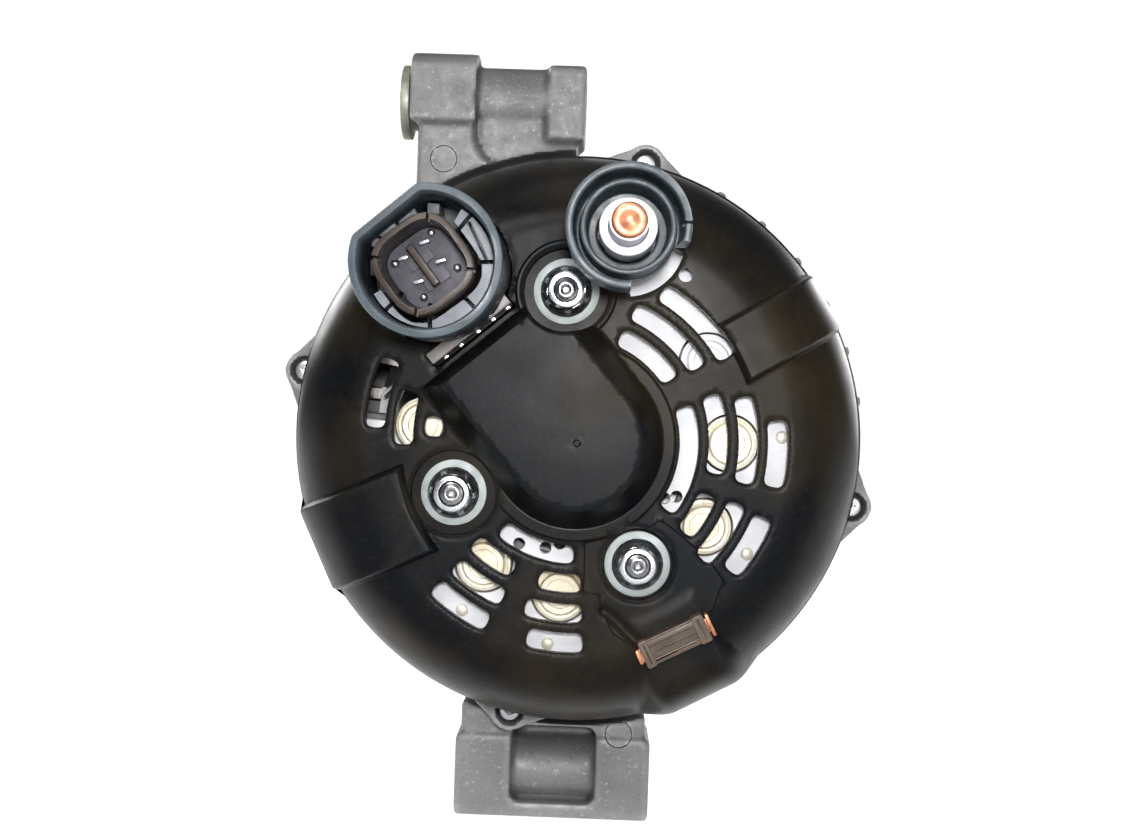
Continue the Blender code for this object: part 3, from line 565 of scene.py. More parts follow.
def studio_floor():
    """Seamless pale paper."""
    look = Look("studio_floor", specular=0.2)
    tooth = look.noise(260, 3.0)
    colour = look.mix(look.span(tooth, 0.0, 1.0), rgb(0.66, 0.66, 0.66), rgb(0.70, 0.70, 0.695))
    look.bump(tooth, 0.03, 0.2)
    glow = look.span(look.axis_part("Y"), 0.0, FLOOR_GLOW, -0.055, -0.02)
    return look.give(Base_Color=colour, Roughness=0.85, Emission_Color=rgb(1.0, 1.0, 1.0),
                     Emission_Strength=glow)


# ---------------------------------------------------------------- rear cover

RECESS_RADII = (9.25, 9.25, 7.75)      # round each stud
RECESS_FLOOR_Y = -46.6
RIM_BULGES = ((0.5, -72.3, -52.8, 2.8), (0.2, -163.8, -146.2, 2.0))  # height, start, end and softness
# How far out the rim's skin has turned at each y
FLARE = ((0.05, -23.6), (0.35, -22.2), (0.95, -21.2), (1.3, -20.6), (1.4, -20.0), (1.4, -18.4))
# Pads that stand at the rim: angle, inner radius of the top, start of its fall, half width
LEFT_BUMP = (205.0, 38.7, 45.0, 9.6)
RIGHT_BUMP = (31.0, 39.9, 46.5, 6.6)
CLIP_BUMP = (-61.5, 40.5, 55.0, 8.9)
BUMP_TOP_Y, CLIP_BUMP_TOP_Y = -52.6, -49.95
GROOVE = ((7.6, -36.5), (15.6, -43.4), 1.6)          # keyhole groove: two ends and half width
PAD = ((2.6, -21.8), (2.7, -32.6), (6.2, -33.4), (6.8, -37.0), (9.5, -41.5), (16.0, -45.5), (24.0, -42.5),
       (31.0, -35.5), (33.2, -29.0), (30.5, -25.0), (22.4, -18.4), (18.9, -16.2),
       (15.4, -18.6))                                 # slightly raised land round the third stud
SMALL_HOLE = (22.6, 36.9)
BOSS_RADIUS, BOSS_REACH = 14.3, 27.1   # top of the boss: its round end, and how far it runs
RIDGE_RADII = (18.6, 19.2, 21.3, 21.9)  # low ridge round the boss: start and end of each side
FIRST_LAND_RADII = (10.6, 11.2)        # raised land round the first stud
GATE_MARK, GATE_RADII = (0.4, -0.1), (0.55, 0.85)  # where the plastic was injected
HOLE_EDGE = 0.35                       # how far the rims of the holes are rolled in


def smooth_min(a, b, width):
    overlap = max(width - abs(a - b), 0.0) / width
    return min(a, b) - overlap * overlap * width / 4


def smooth_max(a, b, width):
    return -smooth_min(-a, -b, width)


def smooth_step(value, low, high):
    t = min(1.0, max(0.0, (value - low) / (high - low)))
    return t * t * (3 - 2 * t)


def rim_radius(degrees):
    """The bowl ends round, with low bulges behind the clip and the left pad."""
    radius = BOWL_RADIUS
    for height, start, end, soft in RIM_BULGES:
        radius += height * (smooth_step(degrees, start - soft, start + soft)
                            - smooth_step(degrees, end - soft, end + soft))
    return radius


def bowl_drop(share):
    """How far the bowl falls behind the face, from 0 at the flat to 25 mm at the rim."""
    share = min(1.0, max(0.0, share))
    return 25.0 * (1 - (1 - share ** 2) ** 0.625)


def bump_height(x, z, bump, top, slope=(6.0, 4.5), fall=28.0, end=66.0, soft=2.4):
    """Skin of a raised pad: steep inner end and sides, and a top that bends down with the bowl."""
    angle, inner, start, half_width = bump
    c, s = math.cos(math.radians(angle)), math.sin(math.radians(angle))
    along, across = c * x + s * z, -s * x + c * z
    near = (inner - math.copysign(math.hypot(x, z), along)) * slope[1]
    side = (abs(across) - half_width) * slope[0]
    share = min(1.0, max(0.0, (along - start) / (end - start)))
    bend = fall * (1 - (1 - share ** 2.3) ** 0.6)
    return top + bend + smooth_max(smooth_max(near, side, 1.6), 0.0, soft)


def boss_height(x, z):
    """D-shaped housing of the brushes, with steep drafted walls."""
    c, s = math.cos(math.radians(BOSS_ANGLE)), math.sin(math.radians(BOSS_ANGLE))
    along, across = c * x + s * z, -s * x + c * z
    reach = math.hypot(along, across) if along < 0 else abs(across)
    wall = smooth_max((reach - BOSS_RADIUS) * 2.45, (along - BOSS_REACH) * 4.2, 1.2)
    y = BOSS_TOP_Y + smooth_max(wall, 0.0, 1.5)
    mark = math.hypot(x - GATE_MARK[0], z - GATE_MARK[1])
    return y + 1.1 * (1 - smooth_step(mark, *GATE_RADII))


def inside(outline, x, z):
    hit = False
    for i, (ax, az) in enumerate(outline):
        bx, bz = outline[i - 1]
        if (az > z) != (bz > z) and x < (bx - ax) * (z - az) / (bz - az) + ax:
            hit = not hit
    return hit


def edge_distance(outline, x, z):
    best = 1e9
    for i, (ax, az) in enumerate(outline):
        bx, bz = outline[i - 1]
        dx, dz = bx - ax, bz - az
        t = min(1.0, max(0.0, ((x - ax) * dx + (z - az) * dz) / (dx * dx + dz * dz)))
        best = min(best, (x - ax - t * dx) ** 2 + (z - az - t * dz) ** 2)
    return math.sqrt(best)


def groove_distance(x, z):
    (ax, az), (bx, bz), _ = GROOVE
    dx, dz = bx - ax, bz - az
    t = min(1.0, max(0.0, ((x - ax) * dx + (z - az) * dz) / (dx * dx + dz * dz)))
    return math.hypot(x - ax - t * dx, z - az - t * dz)


def cover_height(x, z):
    """Y of the cover's outer skin over a point of its plan."""
    radius = math.hypot(x, z)
    degrees = math.degrees(math.atan2(z, x))
    rim = rim_radius(degrees)
    y = FACE_Y + bowl_drop((radius - FLAT_RADIUS) / (rim - FLAT_RADIUS))
    y -= 0.55 * (smooth_step(radius, *RIDGE_RADII[:2]) - smooth_step(radius, *RIDGE_RADII[2:]))
    if radius < 49 and -95 < degrees < -35 and inside(PAD, x, z):
        y -= 0.45 * smooth_step(edge_distance(PAD, x, z), 0.0, 0.3)
    first = math.hypot(x - STUD_PLACES[0][0], z - STUD_PLACES[0][1])
    y -= 0.8 * (1 - smooth_step(first, *FIRST_LAND_RADII))
    y = smooth_min(y, boss_height(x, z), 1.0)
    if radius > 34:
        y = smooth_min(y, bump_height(x, z, LEFT_BUMP, BUMP_TOP_Y), 1.2)
        y = smooth_min(y, bump_height(x, z, RIGHT_BUMP, BUMP_TOP_Y), 1.2)
        y = smooth_min(y, bump_height(x, z, CLIP_BUMP, CLIP_BUMP_TOP_Y, (2.2, 2.0), 26.0, 66.6, 4.5), 1.6)
    y += 1.0 * (1 - smooth_step(groove_distance(x, z), GROOVE[2] - 1.3, GROOVE[2] + 0.15))
    for place, recess in zip(STUD_PLACES, RECESS_RADII):
        near = math.hypot(x - place[0], z - place[1])
        if near < recess + 1.2:
            floor = smooth_step(near, recess - 0.05, recess + 0.10)
            lip = 0.5 * (1 - smooth_step(near, recess + 0.1, recess + 0.9))
            y = (y + lip) * floor + RECESS_FLOOR_Y * (1 - floor)
    return y


def cover_holes():
    """Outlines of everything that goes through the cover."""
    holes = [slot_outline(*ring, start, end) for ring, spans in SLOTS for start, end in spans]
    holes += [circle(3.2, place, 24) for place in STUD_PLACES]
    holes.append(shroud_outline(-0.45))
    bar = rectangle(30.9, 34.9, -8.2, 13.9)
    holes.append(turned_to(rounded(bar, 0.5, 2), BOSS_ANGLE))
    holes.append(arc(12.9, -84, -14, 18, B_TERMINAL) + arc(9.9, -10, 272, 60, B_TERMINAL))
    holes.append(circle(1.55, SMALL_HOLE, 20))
    return holes


def cover_guides():
    """Lines that the skin's corners follow, so that its steps and rims stay crisp."""
    lines = []
    for ring, spans in SLOTS:
        for start, end in spans:
            lines += [slot_outline(*ring, start, end, grow) for grow in (0.25, 0.6)]
    for offset in (-0.5, 0.0, 0.25, 0.5, 1.5, 2.7, 3.9, 4.7, 5.1, 5.6):
        lines.append(boss_outline(BOSS_RADIUS + offset, BOSS_REACH + 0.58 * offset))
    for place, recess in zip(STUD_PLACES, RECESS_RADII):
        lines += [circle(recess + d, place, 72) for d in (-0.05, 0.10, 0.3, 0.6, 0.95)]
    lines += [circle(r, STUD_PLACES[0], 72) for r in (FIRST_LAND_RADII[0], 10.9, FIRST_LAND_RADII[1])]
    lines += [circle(r, steps=180) for r in RIDGE_RADII]
    lines += [circle(r, GATE_MARK, 20) for r in (GATE_RADII[0], 0.7, GATE_RADII[1])]
    lines += [inset(rounded(PAD, 0.6, 2), d) for d in (0.02, 0.32)]
    (ax, az), (bx, bz), half = GROOVE
    turn = math.degrees(math.atan2(bz - az, bx - ax))
    for d in (-1.3, -0.8, -0.35, 0.15):
        lines.append(arc(half + d, turn + 90, turn + 270, 16, (ax, az))
                     + arc(half + d, turn - 90, turn + 90, 16, (bx, bz)))
    for angle, inner, _, half_width in (LEFT_BUMP, RIGHT_BUMP):
        for d in (-0.5, 0.0, 0.35, 0.7, 1.05, 1.4, 1.75, 2.2, 2.8):
            span = math.degrees((half_width + d) / inner)
            near = arc(inner - 0.7 * d, span, -span, 14)
            far = [(64.2, -half_width - d), (64.2, half_width + d)]
            lines.append(turned_to(rounded(near + far, 1.2, 3), angle))
    return lines


def stepped(outline, step=0.9):
    """The same closed outline with corners at most `step` apart."""
    points = []
    for i, (x, z) in enumerate(outline):
        nx, nz = outline[(i + 1) % len(outline)]
        parts = max(1, math.ceil(math.hypot(nx - x, nz - z) / step))
        points += [(x + (nx - x) * k / parts, z + (nz - z) * k / parts) for k in range(parts)]
    return points


def cover_plan(holes, guides):
    """Triangles of the cover's plan: an even mesh that follows the holes, the guides and the bowl's rings."""
    points, edges = [], []

    def add_loop(outline, joined=True):
        first = len(points)
        points.extend(outline)
        if joined:
            count = len(outline)
            edges.extend((first + i, first + (i + 1) % count) for i in range(count))

    for outline in holes:
        add_loop(stepped(outline))
    for outline in guides:
        kept = [p for p in stepped(outline) if math.hypot(*p) < BOWL_RADIUS - 0.5]
        add_loop(kept, joined=len(kept) == len(stepped(outline)))
    rings = [(1 - (1 - k / 26) ** 1.6) ** (1 / 2) for k in range(1, 27)]
    count = 400
    for number, share in enumerate(rings):
        loop = []
        for i in range(count):
            degrees = 360 * (i + 0.5 * (number % 2)) / count - 180
            loop.append(polar(FLAT_RADIUS + share * (rim_radius(degrees) - FLAT_RADIUS), degrees))
        add_loop(loop, joined=number == len(rings) - 1)
    tree = KDTree(len(points))
    for i, (x, z) in enumerate(points):
        tree.insert((x, z, 0.0), i)
    tree.balance()
    pitch = 0.95
    rows = int(BOWL_RADIUS / (pitch * 0.866)) + 1
    for row in range(-rows, rows + 1):
        z = row * pitch * 0.866
        for column in range(-rows - 2, rows + 3):
            x = (column + 0.5 * (row % 2)) * pitch
            if math.hypot(x, z) < 62.5 and tree.find((x, z, 0.0))[2] > 0.42:
                points.append((x, z))
    flat = [Vector(p) for p in points]
    verts, _, faces, _, _, _ = delaunay_2d_cdt(flat, edges, [], 0, 1e-4)
    return verts, faces


def build_cover(look):
    """One moulded skin: its front is a relief, its back lies 2 mm behind, and its holes are walled."""
    holes = cover_holes()
    verts, faces = cover_plan(holes, cover_guides())
    limits = []
    for hole in holes:
        across, up = zip(*hole)
        limits.append((min(across), max(across), min(up), max(up)))

    def open_at(x, z):
        if math.hypot(x, z) > rim_radius(math.degrees(math.atan2(z, x))) + 0.02:
            return True
        return any(x0 <= x <= x1 and z0 <= z <= z1 and inside(hole, x, z)
                   for hole, (x0, x1, z0, z1) in zip(holes, limits))

    work = bmesh.new()
    front, back = [], []
    edge_of = KDTree(sum(len(h) for h in holes[:-1]))
    index = 0
    for hole in holes[:-1]:
        for x, z in hole:
            edge_of.insert((x, z, 0.0), index)
            index += 1
    edge_of.balance()
    for x, z in verts:
        radius = math.hypot(x, z)
        rim = rim_radius(math.degrees(math.atan2(z, x)))
        y = cover_height(x, z)
        near_edge = edge_of.find((x, z, 0.0))[2]
        front_y = y + HOLE_EDGE * (1 - smooth_step(near_edge, 0.0, 0.62))
        front.append(work.verts.new((x * MM, front_y * MM, z * MM)))
        shrink = 1 - smooth_step(radius, FLAT_RADIUS, rim) * 2.0 / rim
        back.append(work.verts.new((x * shrink * MM, (y + 2.0) * MM, z * shrink * MM)))
    for face in faces:
        x = sum(verts[i][0] for i in face) / 3
        z = sum(verts[i][1] for i in face) / 3
        if not open_at(x, z):
            work.faces.new([front[i] for i in face])
            work.faces.new([back[i] for i in reversed(face)])
    for vert in [v for v in work.verts if not v.link_faces]:
        work.verts.remove(vert)
    twin = dict(zip(front, back))
    for edge in [e for e in work.edges if len(e.link_faces) == 1]:
        a, b = edge.verts
        if a not in twin or b not in twin:
            continue
        middle = (a.co + b.co) / 2
        radius = math.hypot(middle.x, middle.z) / MM
        if radius > rim_radius(math.degrees(math.atan2(middle.z, middle.x))) - 0.6:
            continue
        work.faces.new((a, b, twin[b], twin[a]))
    flared = 0.0
    for grow, y in FLARE:
        rim_edges = [e for e in work.edges if len(e.link_faces) == 1]
        made = bmesh.ops.extrude_edge_only(work, edges=rim_edges)
        for vert in [v for v in made["geom"] if isinstance(v, bmesh.types.BMVert)]:
            radius = math.hypot(vert.co.x, vert.co.z)
            stretch = 1 + (grow - flared) * MM / radius
            vert.co = (vert.co.x * stretch, y * MM, vert.co.z * stretch)
        flared = grow
    ends = [e for e in work.edges if len(e.link_faces) == 1]
    bmesh.ops.bridge_loops(work, edges=ends)
    bmesh.ops.recalc_face_normals(work, faces=work.faces[:])
    mesh = bpy.data.meshes.new("rear_cover_skin")
    work.to_mesh(mesh)
    work.free()
    obj = new_object("rear_cover_skin", mesh)
    return dressed(obj, "rear_cover_skin", look, "housing", ["rear_cover"], 38)


# ---------------------------------------------------------------- fasteners of the cover

def hexagon(across_flats, at, turn=0.0):
    return turned_to(arc(across_flats / math.sqrt(3), 0, 300, 5), turn, at)


def nut_body(across_flats, y0, y1, at, turn):
    """Hexagon with its corners turned off at the front, as (outer shape, shape to keep)."""
    flat = across_flats / 2
    hexes = prism(hexagon(across_flats, at, turn), y0, y1)
    cone = turned([(0, y0), (flat - 0.3, y0), (flat - 0.15, y0 + 0.1), (flat + 0.7, y0 + 1.5),
                   (flat + 0.7, y1 + 0.5), (0, y1 + 0.5)], 64, at)
    return hexes, cone


def thread(start, end, pitch, ridge):
    """Corners of a thread made as even ridges, each ridge given as (radius, rise), and the y it ends at."""
    corners = []
    y = start
    while y < end:
        corners += [(radius, y + rise) for radius, rise in ridge]
        y += pitch
    return corners, y


def build_nut(number, place, look, stud_look, washer_look):
    """Flanged nut of the cover with its washer and the shouldered stud under it."""
    hexes, cone = nut_body(8.0, -52.95, -48.6, place, 15 + 20 * number)
    obj = new_object("nut", mesh_of("nut", [hexes]))
    boolean(obj, [cone], "INTERSECT")
    flange = turned([(0, -51.5), (4.1, -51.5), (4.35, -51.25), (5.35, -48.7), (5.6, -48.4), (5.6, -47.9),
                     (0, -47.9)], 64, place)
    boolean(obj, [flange], "UNION")
    bore = turned([(0, -54), (3.35, -54), (2.65, -52.55), (2.65, -47), (0, -47)], 48, place)
    boolean(obj, [bore], "DIFFERENCE")
    dressed(obj, f"flange_nut_{number}", look, "housing", [f"cover_nut_{number}"])
    washer = rounded([(2.9, -47.55), (7.2, -47.55), (7.2, -46.95), (2.9, -46.95)], 0.14, 2)
    piece(f"plain_washer_{number}", washer_look, [turned(washer, 72, place)],
          nodes=[f"cover_washer_{number}"])
    profile = [(0, -52.2), (0.55, -52.25), (0.75, -52.75), (1.1, -53.1), (1.6, -53.15), (1.9, -52.9)]
    profile += thread(-52.7, -46, 0.8, ((2.42, 0.0), (2.42, 0.12), (2.08, 0.4), (2.08, 0.48)))[0]
    profile += [(2.4, -45.9), (2.4, -43.9), (4.1, -43.7), (4.1, -22.5), (0, -22.5)]
    piece(f"threaded_stud_{number}", stud_look, [turned(profile, 48, place)],
          nodes=[f"cover_stud_{number}"], sharp=50)


def build_through_bolt(number, angle, look):
    """Flanged head with a six-lobed socket."""
    place = polar(BOLT_RADIUS, angle)
    head = turned([(0, -17.35), (1.9, -17.35), (2.25, -17.2), (2.4, -16.8), (2.45, -15.3), (2.75, -15.0),
                   (3.0, -14.75), (3.05, -13.8), (2.2, -13.8), (2.2, 36.0), (0, 36.0)], 48, place)
    lobes = [rod(0.34, -19, -15.6, polar(0.95, angle + 60 * i, place), 16) for i in range(6)]
    piece(f"flanged_bolt_{number}", look, [head], nodes=[f"through_bolt_{number}"],
          cuts=[rod(1.0, -19, -15.5, place, 24)] + lobes)


# ---------------------------------------------------------------- output terminal

def build_b_terminal(plastic, steel, thread_look, copper):
    """Insulating cup with its inner collar, and the threaded output stud with a plain tip."""
    cup = rounded([(6.4, -46.0), (9.5, -46.0), (9.5, -52.8), (12.9, -59.5), (12.9, -72.0), (11.35, -72.0),
                   (11.0, -60.6), (10.0, -60.6), (9.9, -69.0), (8.7, -69.0), (8.5, -57.5), (6.4, -57.5)],
                  0.5, 4)
    notch = prism(sector(10.3, 15, -86, -14, 12, B_TERMINAL), -74, -52.2)
    slit = prism(turned_to(rectangle(10.5, 15, -0.35, 0.35), 4, B_TERMINAL), -74, -66)
    step = prism(sector(11.9, 15, 4, 62, 10, B_TERMINAL), -74, -71.2)
    piece("terminal_cup", plastic, [turned(cup, 96, B_TERMINAL)], nodes=["b_terminal_insulator"],
          cuts=[notch, slit, step])
    collar = rounded([(4.15, -68.4), (4.4, -68.5), (5.85, -68.5), (6.05, -68.2), (6.05, -46.0),
                      (4.15, -46.0)], 0.12, 2)
    piece("terminal_collar", steel, [turned(collar, 72, B_TERMINAL)], nodes=["b_terminal_collar"])
    tip = [(0, -79.3), (0.9, -79.35), (1.7, -79.75), (2.7, -79.95), (3.3, -79.75), (3.6, -79.2), (3.6, -78.4),
           (0, -78.4)]
    piece("terminal_tip", copper, [turned(tip, 72, B_TERMINAL)], nodes=["b_terminal_stud"])
    profile = [(0, -78.35), (3.3, -78.35)]
    profile += thread(-78.2, -56, 1.25, ((3.97, 0.0), (3.97, 0.18), (3.45, 0.58), (3.45, 0.7)))[0]
    profile += [(3.6, -55.5), (3.6, -42.0), (6.5, -42.0), (6.5, -41.7), (0, -41.7)]
    piece("terminal_stud", thread_look, [turned(profile, 72, B_TERMINAL)], nodes=["b_terminal_stud"],
          sharp=50)


# ---------------------------------------------------------------- harness clip

def build_clip(plastic, copper):
    """Ribbed clip with a tunnel, and the copper strap through it with a tab at both ends."""
    matrix = Matrix.Translation((CLIP[0], 0, CLIP[1])) @ Matrix.Rotation(math.radians(-CLIP_TURN), 4, "Y")

    def part(x0, x1, z0, z1, y0, y1, edge=0.3):
        outline = rounded(rectangle(x0, x1, z0, z1), 0.5, 2)
        return moved(prism(outline, y0, y1, edge), matrix)

    body = part(-7.4, 7.4, -2.9, 2.9, -54.0, -50.5)
    ends = [part(-7.6, -5.5, -3.1, 3.1, -54.6, -50.6), part(4.9, 7.6, -3.1, 3.1, -54.7, -50.6)]
    ribs = [part(-5.8, 5.2, 1.3, 2.5, -54.55, -51.0, 0.2), part(-5.8, 5.2, -2.5, -1.5, -54.4, -51.0, 0.2),
            part(-5.8, 5.2, -0.4, 0.1, -54.3, -51.0, 0.1)]
    grooves = [part(5.9, 6.4, -2.4, 2.4, -57, -54.0, 0.05), part(-6.6, -6.3, -2.2, 2.2, -57, -54.0, 0.05)]
    tunnel = part(-9.0, 9.0, -1.8, 1.8, -53.2, -52.0, 0.05)
    piece("clip_body", plastic, [body] + ends + ribs, nodes=["harness_clip"],
          cuts=grooves + [tunnel])
    strap = part(-8.7, 8.7, -1.55, 1.55, -52.95, -52.25, 0.1)
    tabs = [part(7.95, 8.75, -2.6, 2.6, -54.1, -51.2, 0.15),
            part(-8.75, -7.95, -1.6, 1.6, -54.0, -51.2, 0.15)]
    piece("clip_tabs", copper, [strap] + tabs, nodes=["clip_strap"])


# ---------------------------------------------------------------- regulator and its connector

def connector_box(x0, x1, z0, z1, y0, y1, turn, edge=0.15, at=CONNECTOR):
    outline = turned_to(rounded(rectangle(x0, x1, z0, z1), 0.35, 2), turn, at)
    return prism(outline, y0, y1, edge)


def build_regulator(plastic, bright, rib_look):
    """Shroud, its inner shelf with latch slots, and the flat base under the cover."""
    base = prism(turned_to(rounded(rectangle(35.4, 51, -15.5, 15.5), 1.5), BOSS_ANGLE), -39.5, -29, 0.4)
    rims = ((0.55, -75.0), (0.15, -74.85), (0.0, -74.4), (0.0, -31.0))
    shroud = loft([(shroud_outline(amount), y) for amount, y in rims])
    wall = 1.95
    socket = loft([(shroud_outline(wall - 0.45), -80), (shroud_outline(wall - 0.45), -75.0),
                   (shroud_outline(wall), -74.3), (shroud_outline(wall + 0.25), -52.0)])
    clearance = prism(turned_to(rectangle(28, 34.9, -18, 18), BOSS_ANGLE), -54.2, -20)
    piece("connector_shroud", plastic, [base, shroud], nodes=["regulator"],
          cuts=[socket, clearance])
    shelf_low = prism(sector(3, 13.1, -150, 62, 40, CONNECTOR), -66.0, -52.2)
    shelf_keep = prism(shroud_outline(2.35), -68, -50)
    gap = prism(rounded_square(20.6, 6.8, INSERT_TURN, INSERT), -80, -40)
    shelf = new_object("shelf", mesh_of("shelf", [shelf_low]))
    boolean(shelf, [shelf_keep], "INTERSECT")
    slots = [connector_box(8, 15, -0.45, 0.45, -70, -58, turn) for turn in (52, 4, -42, -88, -132)]
    slots += [connector_box(10.6, 11.3, -4.5, 4.5, -70, -60, 27)]
    boolean(shelf, [gap] + slots, "DIFFERENCE")
    dressed(shelf, "connector_shelf", bright, "housing", ["regulator"])
    ribs = [(9.0, 12.7, -2.2, 2.2, -64.5, 118), (10.2, 12.4, -2.0, 2.0, -66.0, 143),
            (10.6, 13.0, -1.3, 1.3, -63.0, 90), (10.4, 13.0, -1.5, 1.5, -61.5, 184),
            (11.0, 12.9, -1.0, 1.0, -65.0, 160)]
    for number, (x0, x1, z0, z1, y0, turn) in enumerate(ribs, 1):
        piece(f"connector_rib_{number}", rib_look, [connector_box(x0, x1, z0, z1, y0, -52.3, turn, 0.25)],
              nodes=["regulator"])


def build_insert(ring_look, face_look, blade_look, silver):
    """Inner part of the plug socket: a square ring, its floor with a key, four blades and four rivets."""
    ring = loft([(inset(rounded_square(18.8, 6.8, INSERT_TURN, INSERT), amount), y)
                 for amount, y in ((0.6, -71.0), (0.15, -70.85), (0.0, -70.3), (0.0, -52.35))])
    well = loft([(rounded_square(16.2, 5.8, INSERT_TURN, INSERT), -80),
                 (rounded_square(16.2, 5.8, INSERT_TURN, INSERT), -70.9),
                 (rounded_square(14.9, 5.0, INSERT_TURN, INSERT), -60.6)])
    nicks = [connector_box(8.8, 11.5, -0.45, 0.45, -72, -67, turn, at=INSERT) for turn in (-5, 85, 175, 265)]
    piece("insert_ring", ring_look, [ring], nodes=["connector_insert"],
          cuts=[well] + nicks)
    face = prism(rounded_square(14.8, 4.9, INSERT_TURN, INSERT), -61.4, -60.0, 0.25)
    pads = [turned_to(rounded(rectangle(-4.4, -0.9, -3.1, 2.7), 0.5, 2), -52, INSERT),
            turned_to(rounded(rectangle(0.9, 4.4, -2.7, 3.1), 0.5, 2), -52, INSERT)]
    piece("insert_face", face_look, [face] + [prism(inset(p, -0.01), -61.8, -60.8, 0.15) for p in pads],
          nodes=["connector_insert"])
    key = rounded(rectangle(-5.0, 5.0, -0.75, 0.75), 0.3, 2)
    key = turned_to(key, -51.5, (INSERT[0] - 0.6, INSERT[1] + 0.3))
    piece("insert_key", ring_look, [prism(key, -65.2, -61.3, 0.2)], nodes=["connector_insert"])
    pins = ((-0.7, 5.2), (2.9, 1.4), (-5.0, 1.7), (-1.6, -3.1))
    for number, (x, z) in enumerate(pins, 1):
        at = (INSERT[0] + x, INSERT[1] + z)
        blade = turned_to(rounded(rectangle(-1.1, 1.1, -0.36, 0.36), 0.12, 2), 18, at)
        piece(f"contact_blade_{number}", blade_look, [prism(blade, -63.2, -61.3, 0.12)],
              nodes=["connector_insert"])
    for number, (x, z) in enumerate(((-6.8, 0.6), (0.6, 7.4), (6.3, 0.2), (-0.5, -6.2)), 1):
        dome = turned([(0, -62.3), (0.45, -62.2), (0.8, -61.9), (1.0, -61.35), (1.0, -60.9), (0, -60.9)], 24,
                      (INSERT[0] + x, INSERT[1] + z))
        piece(f"contact_rivet_{number}", silver, [dome], nodes=["connector_insert"])


def bar_prism(low, high, z0, z1, y0, y1, edge=0.15):
    return prism(turned_to(rounded(rectangle(low, high, z0, z1), 0.3, 2), BOSS_ANGLE), y0, y1, edge)


def build_terminal_bar(look, groove_look, silver):
    """Strip beside the boss, with the ends of five leads in the groove along it."""
    piece("terminal_strip", look, [bar_prism(32.0, 34.6, -7.8, 13.5, -53.8, -36, 0.25)],
          nodes=["terminal_bar"])
    piece("terminal_strip_groove", groove_look, [bar_prism(31.3, 31.9, -7.6, 13.3, -51.6, -37)],
          nodes=["terminal_bar"])
    for number, z in enumerate((-6.6, -2.6, 1.6, 6.2, 10.4), 1):
        lead = [bar_prism(31.25, 31.95, z - 0.55, z + 0.55, -52.9, -50.2, 0.12)]
        piece(f"strip_lead_{number}", silver, lead, nodes=["terminal_bar"])


# ---------------------------------------------------------------- rectifier

def build_fins(look, dark_fin, diode, block_look):
    """Both heat sinks, the six diodes of the upper one and the plastic block between them."""
    outer = sector(21.9, 47.1, -184, 73, 64)
    lug = sector(38.6, 48.8, 50, 88, 12)
    holes = [rod(6.55, -46, -38, polar(DIODE_RING, a), 48) for a in DIODE_ANGLES]
    holes += [rod(5.0, -46, -38, place, 32) for place in STUD_PLACES]
    holes.append(rod(7.2, -46, -38, B_TERMINAL, 40))
    vents = ((25.4, -27), (23.2, -31), (24.6, -104), (26.0, -117), (23.0, -97))
    holes += [rod(1.35, -46, -38, polar(r, a), 20) for r, a in vents]
    plates = [prism(outer, FIN_Y, FIN_Y + 3.1, 0.3), prism(lug, FIN_Y + 0.02, FIN_Y + 3.08, 0.3)]
    piece("upper_fin", look, plates, nodes=["positive_fin"], cuts=holes)
    buttons = ((45.4, 3), (45.2, -31.5), (45.4, -96), (45.2, -122))
    for number, (r, a) in enumerate(buttons, 1):
        cap = turned([(0, FIN_Y - 0.5), (1.0, FIN_Y - 0.45), (1.35, FIN_Y - 0.2), (1.4, FIN_Y - 0.05),
                      (1.4, FIN_Y - 0.02), (0, FIN_Y - 0.02)], 28, polar(r, a))
        piece(f"fin_rivet_{number}", diode, [cap], nodes=["positive_fin"])
    top = FIN_Y - 0.3
    for number, angle in enumerate(DIODE_ANGLES, 1):
        cup = [(0, top - 0.45), (3.1, top - 0.45), (3.25, top - 0.85), (4.35, top - 0.88), (4.55, top - 0.5),
               (4.65, top - 0.05), (4.95, top + 0.25), (5.35, top + 0.2), (5.5, top - 0.05), (5.95, top),
               (6.08, top + 0.25), (6.08, top + 4.4), (1.0, top + 4.4), (1.0, top + 7.5), (0, top + 7.5)]
        shape = turned(cup, 64, polar(DIODE_RING, angle))
        piece(f"press_diode_{number}", look if number == 1 else diode, [shape],
              nodes=[f"diode_{number}"])
    inner = prism(sector(24.1, 57.9, -184, 80, 60), -30.5, -27.5, 0.3)
    studs = [rod(5.0, -34, -24, place, 32) for place in STUD_PLACES]
    cups = [turned([(0, -32.9), (5.4, -32.9), (5.95, -32.5), (6.0, -29), (0, -29)], 48, polar(46.0, a))
            for a in (20, -20, -60, -85, -130, -172)]
    piece("lower_fin", dark_fin, [inner] + cups, nodes=["negative_fin"], cuts=studs)
    moulding = prism(sector(26.1, 55.9, -182, 66, 60), -35.6, -34.0, 0.25)
    cuts = [rod(5.0, -38, -30, place, 32) for place in STUD_PLACES]
    cuts += [rod(2.0, -40, -30, polar(DIODE_RING, a), 20) for a in DIODE_ANGLES]
    piece("rectifier_moulding", block_look, [moulding], nodes=["rectifier_block"],
          cuts=cuts)


# ---------------------------------------------------------------- housings and lugs

def ears(y0, y1, radius=4.85):
    """Four bolt bosses, each blended to the barrel by a wide root."""
    shapes = []
    for angle in bolt_angles():
        shapes.append(rod(radius, y0, y1, polar(BOLT_RADIUS, angle), 40))
        side = [(64.8, 12.5), (66.6, 9.0), (68.6, 5.6), (70.0, 3.3)]
        root = [polar(r, angle - a) for r, a in side] + [polar(r, angle + a) for r, a in reversed(side)]
        shapes.append(prism(root, y0, y1))
    return shapes


